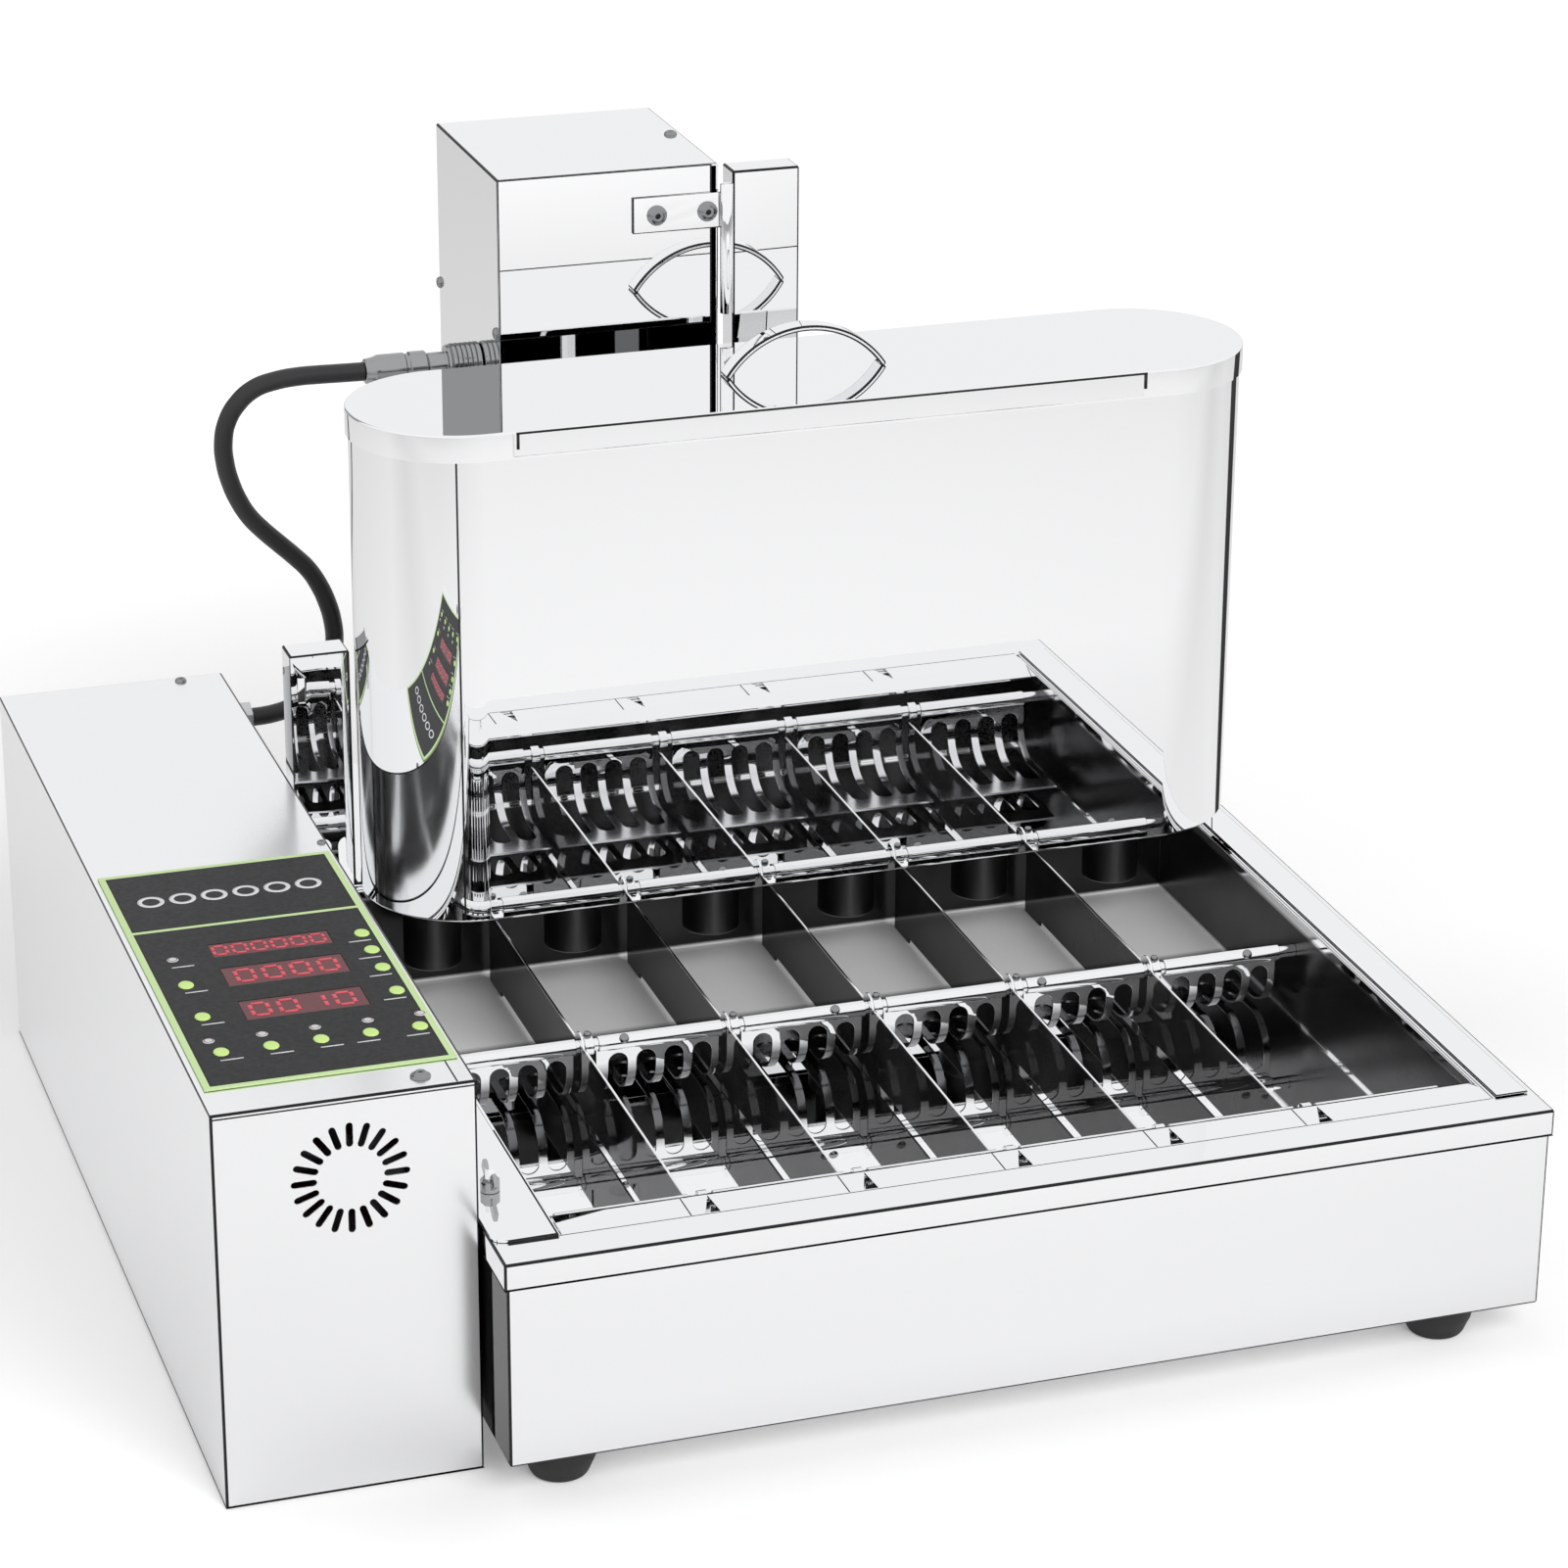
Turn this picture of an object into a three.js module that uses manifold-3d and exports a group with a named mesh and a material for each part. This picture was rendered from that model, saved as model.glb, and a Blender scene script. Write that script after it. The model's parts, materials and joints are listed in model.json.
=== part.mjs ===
// A six lane donut machine: control box, fryer with two rows of shovels, hopper and dosing tower.
// X runs to the right, Y to the back and Z up. Sizes are in millimetres.
import * as THREE from 'three';
import Module from 'manifold-3d';

const wasm = await Module();
wasm.setup();

// Sheet steel, clearances and the fineness of round shapes
const sheet = 1.5;
const gap = 0.3;
const overrun = 6;
const fineSides = 20;
const roundSides = 14;
const coarseSides = 12;
const slotSides = 6;
const nutSides = 6;
const bendSteps = 4;
const ovalSteps = 6;
const hopperEndSteps = 24;
const ventEndSteps = 2;

// Control box, standing on the table at the left
const boxWidth = 159;
const boxBackInset = 37;
const boxHeight = 260;
const baseThick = 2;

// Round vent in the front of the control box, with a fan behind it
const ventX = 82;
const ventBelowTop = 52;
const ventOuterRadius = 36;
const ventInnerRadius = 20;
const ventSlotWidth = 4.4;
const ventSlotCount = 20;
const fanFrameSide = 80;
const fanDepth = 25;
const fanRadius = 34;
const fanTunnelRadius = 37;
const fanHubRadius = 16;
const fanHubDepth = 16;
const fanPinRadius = 2.5;
const fanBladeCount = 7;
const fanBladeThick = 1.6;
const fanBladeTilt = 38;
const fanSpiderThick = 2.5;
const fanSpiderWidth = 8;
const fanRunClearance = 2;

// Control panel on top of the box
const panelLeft = 4;
const panelWidth = 152;
const panelFront = 32;
const panelDepth = 328;
const panelThick = 0.8;
const panelWindowSide = 2.5;
const panelWindowFront = 66;
const panelWindowBack = 246;
const displayWide = 76;
const displayCentreX = 87;
const displayLowY = 134;
const displayMiddleY = 185;
const displayHighY = 226;
const displayTall = 28;
const displaySmallTall = 20;
const lampRadius = 3;
const lampStand = 0.5;
const lampRowY = 98;
const lampRowX = 20.5;
const lampPitch = 32.4;
const lampRowCount = 5;
const loneLampX = 24;
const loneLampY = 220;
const keyWide = 9.5;
const keyDeep = 12;
const keyStand = 0.6;
const keyTravel = 0.5;
const keyFlange = 1.2;
const keyFlangeThick = 1;
const keyRowY = 81;
const keyRowX = 24.5;
const keyRowPitch = 30.3;
const keyRowCount = 5;
const keyLeftX = 24.3;
const keyLeftLowY = 133;
const keyLeftHighY = 181;
const keyRightX = 145;
const keyRightFirstY = 135;
const keyRightSecondY = 171;
const keyRightThirdY = 198.5;
const keyRightFourthY = 225;
const boardDrop = 9;
const boardThick = 1.6;
const boardRail = 6;
const boardRailClear = 3;
const switchRadius = 2;

// Fryer
const fryerGap = 1;
const fryerForward = 52;
const fryerRightMargin = 31;
const fryerDepth = 794;
const deckHeight = 163.6;
const lipTall = 17.7;
const footHeight = 26.7;
const footTopRadius = 23;
const footBottomRadius = 17;
const footFlare = 14;
const footInsetLeft = 42;
const footInsetRight = 55;
const footInsetY = 37;

// Six lanes in the oil tank
const laneCount = 6;
const lanePitch = 100;
const laneInset = 40;
const tankLeftTrim = 3;
const tankRightExtra = 9;
const tankFrontInset = 32;
const rearDeckDeep = 230;
const tankDeep = 75.6;
const tankFlange = 12;
const openingMargin = 3;
const openingFrontMargin = 5;

// Lane dividers
const dividerFrontClear = 56;
const dividerBackClear = 12;
const dividerAboveShaft = 3;
const dividerFloorClear = 4;
const dividerEarRadius = 10;
const dividerFootWide = 30;
const dividerFootCount = 3;

// Shafts and their drive wheels
const shaftRadius = 4.2;
const rearShaftAheadOfBack = 237;
const rearShaftBelowDeck = 25.6;
const frontShaftBehindFront = 45;
const frontShaftBelowDeck = 17.6;
const shaftRightStick = 3;
const driveInset = 20;
const driveWheelRadius = 11;
const driveWheelWide = 8;
const collarRadius = 6.6;
const collarOffset = 2;
const collarWide = 6.4;

// Slotted shovels
const shovelInset = 12;
const shovelWide = 84.5;
const shovelThick = 1.5;
const sleeveRadius = 5.4;
const shovelWallY = 4;
const shovelWallTop = 1;
const shovelDrop = 45;
const shovelBend = 27;
const shovelReach = 77;
const shovelEndStrip = 18;
const slotWide = 13.4;
const slotPitch = 19.3;
const slotCount = 4;
const slotFirst = 15;
const slotTop = 10;

// Cover plates, wing nut and front ledge
const coverThick = 1.5;
const coverLeftMargin = 0.6;
const coverCornerRadius = 9;
const coverRightWide = 22;
const coverPostClear = 7;
const studInsetX = 16.5;
const studInsetY = 93;
const studRadius = 3;
const studTall = 14;
const nutRadius = 6;
const nutTall = 7;
const nutTopRadius = 4.6;
const wingSpan = 30;
const wingThick = 2.4;
const wingTall = 12;
const wingLift = 3;
const ledgeFlat = 24;
const ledgeReach = 32;
const ledgeDrop = 6;
const notchLeftWide = 8;
const notchRightWide = 1.5;
const notchDeep = 22;
const notchFront = 1;

// Heating element under the tank
const heaterRadius = 4;
const heaterLegs = 4;
const heaterPitch = 120;
const heaterInset = 90;
const heaterFrontClear = 90;
const heaterSides = 6;
const heaterSteps = 40;

// Hopper
const hopperOverhang = 19;
const hopperDepth = 144;
const hopperAheadOfBack = 118.3;
const hopperLift = 17.4;
const hopperTall = 324;
const lidTall = 18.5;
const lidLipStart = 90;
const lidLipEnd = 529;
const lidLipProud = 1.6;
const lidLipTall = 16;
const nozzleRadius = 20;
const nozzleBore = 15;
const nozzleLong = 56;
const handleLeft = 255;
const handleSpan = 115;
const handleRise = 32;
const handleThick = 2.6;
const handleWide = 10;
const handleSteps = 14;

// Posts that carry the hopper
const postAheadOfBack = 27;
const postDeep = 25;
const postLeftWide = 41;
const postLeftMargin = 1.6;
const postRightWide = 9;
const postRightMargin = 2;
const postTall = 186.4;
const postThick = 2.5;
const shelfThick = 4;
const shelfReach = 34;
const postSlotWide = 5;
const postSlotTall = 18;
const postSlotBelowTop = 25;
const postHoleRadius = 3;
const postHoleLow = 26.4;
const postHoleHigh = 136.4;

// Tower and lift column
const towerInset = 174;
const towerWide = 156;
const towerBackInset = 4;
const towerDeep = 165;
const towerTall = 476.4;
const panelTall = 112;
const panelRightMargin = 5;
const panelReturn = 14;
const bracketInset = 94;
const bracketBelowTop = 44;
const bracketTall = 25;
const bracketThick = 2;
const bracketHole = 3.2;
const bracketHoleFirst = 17;
const bracketHolePitch = 37;
const knuckleClear = 4;
const knuckleRadius = 4.5;
const knuckleBelow = 60;
const knuckleAbove = 6;
const columnClear = 10;
const columnWide = 48;
const columnDeep = 24;
const columnBelowTop = 6;

// Air hose with its fitting and gland
const hoseRadius = 6.5;
const hoseSides = 8;
const hoseSteps = 46;
const fittingBehindFront = 56;
const fittingBelowTop = 142;
const fittingNutRadius = 14;
const fittingNutLong = 24;
const fittingNeckRadius = 9;
const fittingNeckLong = 14;
const fittingTailRadius = 11;
const fittingTailLong = 44;
const fittingBore = 4;
const hoseLeadTop = 55.4;
const glandFromBack = 43;
const glandBelowTop = 20;
const glandRadius = 12;
const glandLong = 11;
const glandBore = 5;
const hoseLeadBottom = 8.4;
const hoseAcrossShares = [0.048, -0.147, -0.218, -0.161, 0.005, 0.265, 0.525, 0.691, 0.748, 0.661, 0.426];
const hoseUpShares = [0.978, 0.917, 0.833, 0.714, 0.606, 0.517, 0.429, 0.32, 0.202, 0.101, 0.027];

// Sizes that follow from the ones above
const ventZ = boxHeight - ventBelowTop;
const panelTop = boxHeight + gap + panelThick;
const panelUnder = boxHeight + gap;
const boardTop = boxHeight - boardDrop;
const keyUnder = panelUnder - gap - keyFlangeThick;
const deckUnder = deckHeight - sheet;
const bodyTop = deckUnder - gap;
const coverUnder = deckHeight + gap;
const fryerLeft = boxWidth + fryerGap;
const fryerFront = -fryerForward;
const fryerBack = fryerFront + fryerDepth;
const boxDepth = fryerBack - boxBackInset;
const firstLane = fryerLeft + laneInset;
const tankLeft = firstLane + tankLeftTrim;
const tankRight = firstLane + laneCount * lanePitch + tankRightExtra;
const fryerRight = tankRight + fryerRightMargin;
const tankFront = fryerFront + tankFrontInset;
const tankBack = fryerBack - rearDeckDeep;
const tankFloorHeight = deckHeight - tankDeep;
const openingLeft = tankLeft - openingMargin;
const openingRight = tankRight + openingMargin;
const openingFront = tankFront - openingFrontMargin;
const openingBack = tankBack + openingMargin;
const rearShaftY = tankBack - rearShaftAheadOfBack;
const rearShaftZ = deckHeight - rearShaftBelowDeck;
const frontShaftY = tankFront + frontShaftBehindFront;
const frontShaftZ = deckHeight - frontShaftBelowDeck;
const dividerFront = tankFront + dividerFrontClear;
const dividerBack = tankBack - dividerBackClear;
const dividerTop = rearShaftZ + dividerAboveShaft;
const dividerBottom = tankFloorHeight + dividerFloorClear;
const ledgeBack = tankFront + ledgeReach;
const heaterFirstY = tankFront + heaterFrontClear;
const hopperLeft = tankLeft;
const hopperRight = tankRight + hopperOverhang;
const hopperFront = tankBack - hopperAheadOfBack;
const hopperBack = hopperFront + hopperDepth;
const hopperBottom = deckHeight + hopperLift;
const lidBottom = hopperBottom + hopperTall;
const lidTop = lidBottom + lidTall;
const nozzleTip = hopperBottom - nozzleLong;
const postFront = tankBack - postAheadOfBack;
const postHeight = deckHeight + postTall;
const coverBack = postFront - coverPostClear;
const studX = fryerLeft + studInsetX;
const studY = fryerFront + studInsetY;
const towerLeft = fryerLeft + towerInset;
const towerRight = towerLeft + towerWide;
const towerFront = fryerBack - towerBackInset - towerDeep;
const towerTop = deckHeight + towerTall;
const panelBottom = towerTop - panelTall;
const bracketLeft = towerLeft + bracketInset;
const bracketBottom = towerTop - bracketBelowTop;
const knuckleX = towerRight + knuckleClear;
const columnLeft = towerRight + columnClear;
const columnTop = towerTop - columnBelowTop;
const fittingY = towerFront + fittingBehindFront;
const fittingZ = towerTop - fittingBelowTop;
const glandY = boxDepth - glandFromBack;
const glandZ = boxHeight - glandBelowTop;
const originX = fryerRight / 2;
const originY = (fryerFront + fryerBack) / 2;

// Finishes
const polished = new THREE.MeshStandardMaterial({ color: 0xdfe1e3, roughness: 0.12, metalness: 1 });
const satin = new THREE.MeshStandardMaterial({ color: 0xc4c7ca, roughness: 0.35, metalness: 1 });
const darkSteel = new THREE.MeshStandardMaterial({ color: 0x55585c, roughness: 0.4, metalness: 1 });
const rubber = new THREE.MeshStandardMaterial({ color: 0x111214, roughness: 0.7, metalness: 0 });
const panelBlack = new THREE.MeshStandardMaterial({ color: 0x26282b, roughness: 0.45, metalness: 0 });
const boardGreen = new THREE.MeshStandardMaterial({ color: 0x3a1214, roughness: 0.5, metalness: 0 });
const keyGreen = new THREE.MeshStandardMaterial({ color: 0xc6e86a, roughness: 0.5, metalness: 0 });
const fanBlack = new THREE.MeshStandardMaterial({ color: 0x1b1c1e, roughness: 0.6, metalness: 0 });

const machine = new THREE.Group();
machine.name = 'donut_making_machine';

// Turn a closed three.js geometry into a solid for cutting and joining
function solid(geometry) {
  geometry.deleteAttribute('normal');
  geometry.deleteAttribute('uv');
  const welded = mergeVertices(geometry);
  return new wasm.Manifold(new wasm.Mesh({
    numProp: 3,
    vertProperties: new Float32Array(welded.attributes.position.array),
    triVerts: new Uint32Array(welded.index.array),
  }));
}

// Give equal corners one number, so the surface is closed
function mergeVertices(geometry) {
  const source = geometry.index ? geometry.toNonIndexed() : geometry;
  const corners = source.attributes.position;
  const seen = new Map();
  const places = [];
  const index = [];
  for (let i = 0; i < corners.count; i += 1) {
    const corner = [corners.getX(i), corners.getY(i), corners.getZ(i)];
    const key = corner.map((value) => Math.round(value * 1e4)).join();
    if (!seen.has(key)) {
      seen.set(key, places.length / 3);
      places.push(...corner);
    }
    index.push(seen.get(key));
  }
  const kept = [];
  for (let i = 0; i < index.length; i += 3) {
    const [a, b, c] = index.slice(i, i + 3);
    if (a !== b && b !== c && a !== c) kept.push(a, b, c);
  }
  const welded = new THREE.BufferGeometry();
  welded.setAttribute('position', new THREE.Float32BufferAttribute(places, 3));
  welded.setIndex(kept);
  return welded;
}

function geometryOf(body) {
  const net = body.getMesh();
  const geometry = new THREE.BufferGeometry();
  geometry.setAttribute('position', new THREE.Float32BufferAttribute(net.vertProperties, 3));
  geometry.setIndex(Array.from(net.triVerts));
  const flat = geometry.toNonIndexed();
  flat.computeVertexNormals();
  return flat;
}

function addPiece(name, body, material) {
  const mesh = new THREE.Mesh(geometryOf(body), material);
  mesh.name = name;
  machine.add(mesh);
}

function moved(body, x, y, z) {
  return body.translate([x, y, z]);
}

function joined(bodies) {
  return bodies.reduce((whole, body) => whole.add(body));
}

function cutBy(body, cutters) {
  return cutters.reduce((rest, cutter) => rest.subtract(cutter), body);
}

// A block between two limits on each axis
function block([x0, x1], [y0, y1], [z0, z1]) {
  const geometry = new THREE.BoxGeometry(x1 - x0, y1 - y0, z1 - z0);
  geometry.translate((x0 + x1) / 2, (y0 + y1) / 2, (z0 + z1) / 2);
  return solid(geometry);
}

// A round bar along one axis, centred on the two other coordinates in X, Y, Z order
function bar(axis, radius, [from, to], [first, second], sides = fineSides) {
  const geometry = new THREE.CylinderGeometry(radius, radius, to - from, sides);
  const middle = (from + to) / 2;
  if (axis === 'x') {
    geometry.rotateZ(Math.PI / 2);
    geometry.translate(middle, first, second);
  } else if (axis === 'y') {
    geometry.translate(first, middle, second);
  } else {
    geometry.rotateX(Math.PI / 2);
    geometry.translate(first, second, middle);
  }
  return solid(geometry);
}

// An outline drawn in Y and Z, drawn out along X
function outlineAlongX(shape, [from, to], steps = bendSteps) {
  const geometry = new THREE.ExtrudeGeometry(shape, {
    depth: to - from, bevelEnabled: false, curveSegments: steps,
  });
  const turn = new THREE.Matrix4().makeBasis(
    new THREE.Vector3(0, 1, 0), new THREE.Vector3(0, 0, 1), new THREE.Vector3(1, 0, 0),
  );
  geometry.applyMatrix4(turn);
  geometry.translate(from, 0, 0);
  return solid(geometry);
}

// An outline drawn in X and Z, drawn out along Y
function outlineAlongY(shape, [from, to], steps = bendSteps) {
  const geometry = new THREE.ExtrudeGeometry(shape, {
    depth: to - from, bevelEnabled: false, curveSegments: steps,
  });
  geometry.rotateX(Math.PI / 2);
  geometry.translate(0, to, 0);
  return solid(geometry);
}

// An outline drawn in X and Y, drawn out along Z
function outlineAlongZ(shape, [from, to], steps = bendSteps) {
  const geometry = new THREE.ExtrudeGeometry(shape, {
    depth: to - from, bevelEnabled: false, curveSegments: steps,
  });
  geometry.translate(0, 0, from);
  return solid(geometry);
}

function polygon(points) {
  return new THREE.Shape(points.map(([u, v]) => new THREE.Vector2(u, v)));
}

function oval(x, y, wide, deep) {
  const shape = new THREE.Shape();
  shape.absellipse(x, y, wide / 2, deep / 2, 0, Math.PI * 2);
  return shape;
}

// A long outline with round ends, grown outwards by a margin
function roundEnded(grow) {
  const radius = hopperDepth / 2 + grow;
  const middleY = (hopperFront + hopperBack) / 2;
  const shape = new THREE.Shape();
  shape.absarc(hopperRight - hopperDepth / 2, middleY, radius, -Math.PI / 2, Math.PI / 2);
  shape.absarc(hopperLeft + hopperDepth / 2, middleY, radius, Math.PI / 2, Math.PI * 1.5);
  shape.closePath();
  return shape;
}

// Key places, from the row of five round to the right side
function keyPlaces() {
  const places = [];
  for (let i = 0; i < keyRowCount; i += 1) places.push([keyRowX + i * keyRowPitch, keyRowY]);
  places.push([keyLeftX, keyLeftLowY], [keyLeftX, keyLeftHighY]);
  places.push([keyRightX, keyRightFirstY], [keyRightX, keyRightSecondY]);
  places.push([keyRightX, keyRightThirdY], [keyRightX, keyRightFourthY]);
  return places;
}

function lampPlaces() {
  const places = [[loneLampX, loneLampY]];
  for (let i = 0; i < lampRowCount; i += 1) places.push([lampRowX + i * lampPitch, lampRowY]);
  return places;
}

// Limits of the three display windows in X and Y
function displayWindows() {
  const across = [displayCentreX - displayWide / 2, displayCentreX + displayWide / 2];
  const rows = [[displayLowY, displayTall], [displayMiddleY, displayTall], [displayHighY, displaySmallTall]];
  return rows.map(([y, tall]) => [across, [y - tall / 2, y + tall / 2]]);
}

// One rounded slot of the vent, turned about the vent's centre
function ventSlot(turn) {
  const middle = (ventOuterRadius + ventInnerRadius) / 2;
  const half = (ventOuterRadius - ventInnerRadius - ventSlotWidth) / 2;
  const shape = new THREE.Shape();
  shape.absarc(middle + half, 0, ventSlotWidth / 2, -Math.PI / 2, Math.PI / 2);
  shape.absarc(middle - half, 0, ventSlotWidth / 2, Math.PI / 2, Math.PI * 1.5);
  shape.closePath();
  const geometry = new THREE.ExtrudeGeometry(shape, {
    depth: sheet + overrun * 2, bevelEnabled: false, curveSegments: ventEndSteps,
  });
  geometry.rotateZ(turn);
  geometry.rotateX(Math.PI / 2);
  geometry.translate(ventX, sheet + overrun, ventZ);
  return solid(geometry);
}

function controlCasing() {
  const whole = block([0, boxWidth], [0, boxDepth], [0, boxHeight]);
  const cutters = [
    block([sheet, boxWidth - sheet], [sheet, boxDepth - sheet], [-overrun, boxHeight - sheet]),
    block(
      [panelLeft + panelWindowSide, panelLeft + panelWidth - panelWindowSide],
      [panelWindowFront, panelWindowBack],
      [boxHeight - overrun, boxHeight + overrun],
    ),
    bar('x', glandBore, [boxWidth - overrun, boxWidth + overrun], [glandY, glandZ], coarseSides),
  ];
  for (let i = 0; i < ventSlotCount; i += 1) cutters.push(ventSlot(Math.PI * 2 * i / ventSlotCount));
  return cutBy(whole, cutters);
}

function controlBase() {
  const inset = sheet + gap;
  return block([inset, boxWidth - inset], [inset, boxDepth - inset], [0, baseThick]);
}

function controlPanel() {
  const plate = block(
    [panelLeft, panelLeft + panelWidth],
    [panelFront, panelFront + panelDepth],
    [panelUnder, panelTop],
  );
  const through = [panelUnder - overrun, panelTop + overrun];
  const keys = keyPlaces().map(([x, y]) => outlineAlongZ(
    oval(x, y, keyWide + gap * 2, keyDeep + gap * 2), through, ovalSteps,
  ));
  const lamps = lampPlaces().map((place) => bar('z', lampRadius + gap, through, place, coarseSides));
  const windows = displayWindows().map(([x, y]) => block(x, y, through));
  return cutBy(plate, [...keys, ...lamps, ...windows]);
}

// Circuit board under the panel, with displays, lamps and key switches
function displayBoard() {
  const left = panelLeft + panelWindowSide;
  const right = panelLeft + panelWidth - panelWindowSide;
  const lowY = panelWindowFront - boardRailClear;
  const highY = panelWindowBack + boardRailClear;
  const railTop = boxHeight - sheet - gap;
  const pieces = [
    block([left, right], [lowY - boardRail, highY + boardRail], [boardTop - boardThick, boardTop]),
    block([left, right], [lowY - boardRail, lowY], [boardTop - boardThick, railTop]),
    block([left, right], [highY, highY + boardRail], [boardTop - boardThick, railTop]),
  ];
  displayWindows().forEach(([[x0, x1], [y0, y1]]) => {
    pieces.push(block([x0 + gap, x1 - gap], [y0 + gap, y1 - gap], [boardTop - boardThick, panelTop - gap]));
  });
  lampPlaces().forEach((place) => {
    pieces.push(bar('z', lampRadius, [boardTop - boardThick, panelTop + lampStand], place, coarseSides));
  });
  keyPlaces().forEach((place) => {
    const top = keyUnder - keyTravel - gap;
    pieces.push(bar('z', switchRadius, [boardTop - boardThick, top], place, nutSides));
  });
  return joined(pieces);
}

// A key with a flange that keeps it under the panel
function panelKey([x, y]) {
  const cap = outlineAlongZ(oval(x, y, keyWide, keyDeep), [keyUnder, panelTop + keyStand], ovalSteps);
  const flange = outlineAlongZ(
    oval(x, y, keyWide + keyFlange * 2, keyDeep + keyFlange * 2),
    [keyUnder, keyUnder + keyFlangeThick],
    ovalSteps,
  );
  return cap.add(flange);
}

function fanFrame() {
  const front = sheet + gap;
  const back = front + fanDepth;
  const half = fanFrameSide / 2;
  const frame = block([ventX - half, ventX + half], [front, back], [ventZ - half, ventZ + half]);
  const tunnel = bar('y', fanTunnelRadius, [front - overrun, back + overrun], [ventX, ventZ]);
  const spider = [
    bar('y', fanHubRadius, [back - fanSpiderThick, back], [ventX, ventZ]),
    block(
      [ventX - half + sheet, ventX + half - sheet],
      [back - fanSpiderThick, back],
      [ventZ - fanSpiderWidth / 2, ventZ + fanSpiderWidth / 2],
    ),
    block(
      [ventX - fanSpiderWidth / 2, ventX + fanSpiderWidth / 2],
      [back - fanSpiderThick, back],
      [ventZ - half + sheet, ventZ + half - sheet],
    ),
  ];
  return joined([frame.subtract(tunnel), ...spider]);
}

function fanRotor() {
  const front = sheet + gap + fanRunClearance;
  const back = sheet + gap + fanDepth - fanSpiderThick - gap;
  const pieces = [
    bar('y', fanHubRadius, [front, front + fanHubDepth], [ventX, ventZ]),
    bar('y', fanPinRadius, [front, back], [ventX, ventZ], coarseSides),
  ];
  for (let i = 0; i < fanBladeCount; i += 1) {
    const blade = new THREE.BoxGeometry(fanRadius, fanHubDepth, fanBladeThick);
    blade.rotateX(THREE.MathUtils.degToRad(fanBladeTilt));
    blade.translate(fanRadius / 2, 0, 0);
    blade.rotateY(Math.PI * 2 * i / fanBladeCount);
    blade.translate(ventX, front + fanHubDepth / 2, ventZ);
    pieces.push(solid(blade));
  }
  return joined(pieces);
}

// Outer walls and floor of the fryer, open at the top
function fryerBody() {
  const inset = sheet + gap;
  const x = [fryerLeft + inset, fryerRight - inset];
  const y = [fryerFront + inset, fryerBack - inset];
  const outer = block(x, y, [footHeight + gap, bodyTop]);
  const hollow = block(
    [x[0] + sheet, x[1] - sheet],
    [y[0] + sheet, y[1] - sheet],
    [footHeight + gap + sheet, bodyTop + overrun],
  );
  return outer.subtract(hollow);
}

// Top plate with a folded lip all round and the opening over the tank
function fryerDeck() {
  const outer = block([fryerLeft, fryerRight], [fryerFront, fryerBack], [deckHeight - lipTall, deckHeight]);
  const hollow = block(
    [fryerLeft + sheet, fryerRight - sheet],
    [fryerFront + sheet, fryerBack - sheet],
    [deckHeight - lipTall - overrun, deckUnder],
  );
  const opening = block(
    [openingLeft, openingRight],
    [openingFront, openingBack],
    [deckUnder - overrun, deckHeight + overrun],
  );
  return cutBy(outer, [hollow, opening]);
}

// Oil pan with a flange under the deck and bearing holes for both shafts
function oilTank() {
  const flangeTop = bodyTop;
  const outer = block(
    [tankLeft - sheet, tankRight + sheet],
    [tankFront - sheet, tankBack + sheet],
    [tankFloorHeight - sheet, flangeTop],
  );
  const flange = block(
    [openingLeft - tankFlange, openingRight + tankFlange],
    [openingFront - tankFlange, openingBack + tankFlange],
    [flangeTop - sheet, flangeTop],
  );
  const hollow = block([tankLeft, tankRight], [tankFront, tankBack], [tankFloorHeight, flangeTop + overrun]);
  const across = [tankLeft - overrun, tankRight + overrun];
  const holes = [
    bar('x', shaftRadius + gap, across, [rearShaftY, rearShaftZ], roundSides),
    bar('x', shaftRadius + gap, across, [frontShaftY, frontShaftZ], roundSides),
  ];
  return cutBy(outer.add(flange), [hollow, ...holes]);
}

function laneDivider(x) {
  const across = [x - sheet / 2, x + sheet / 2];
  const pieces = [
    block(across, [dividerFront, dividerBack], [dividerBottom, dividerTop]),
    bar('x', dividerEarRadius, across, [rearShaftY, rearShaftZ], roundSides),
  ];
  const footStep = (dividerBack - dividerFront - dividerFootWide) / (dividerFootCount - 1);
  for (let i = 0; i < dividerFootCount; i += 1) {
    const start = dividerFront + i * footStep;
    pieces.push(block(across, [start, start + dividerFootWide], [tankFloorHeight + gap, dividerTop]));
  }
  const through = [x - overrun, x + overrun];
  const bore = bar('x', shaftRadius + gap, through, [rearShaftY, rearShaftZ], roundSides);
  return joined(pieces).subtract(bore);
}

// A shaft with a drive wheel at the left and one collar beside each shovel
function shovelShaft(y, z) {
  const left = fryerLeft + driveInset;
  const right = tankRight + sheet + shaftRightStick;
  const pieces = [
    bar('x', shaftRadius, [left, right], [y, z], roundSides),
    bar('x', driveWheelRadius, [left, left + driveWheelWide], [y, z], roundSides),
  ];
  for (let i = 1; i < laneCount; i += 1) {
    const start = firstLane + i * lanePitch + collarOffset;
    pieces.push(bar('x', collarRadius, [start, start + collarWide], [y, z], roundSides));
  }
  return joined(pieces);
}

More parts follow.
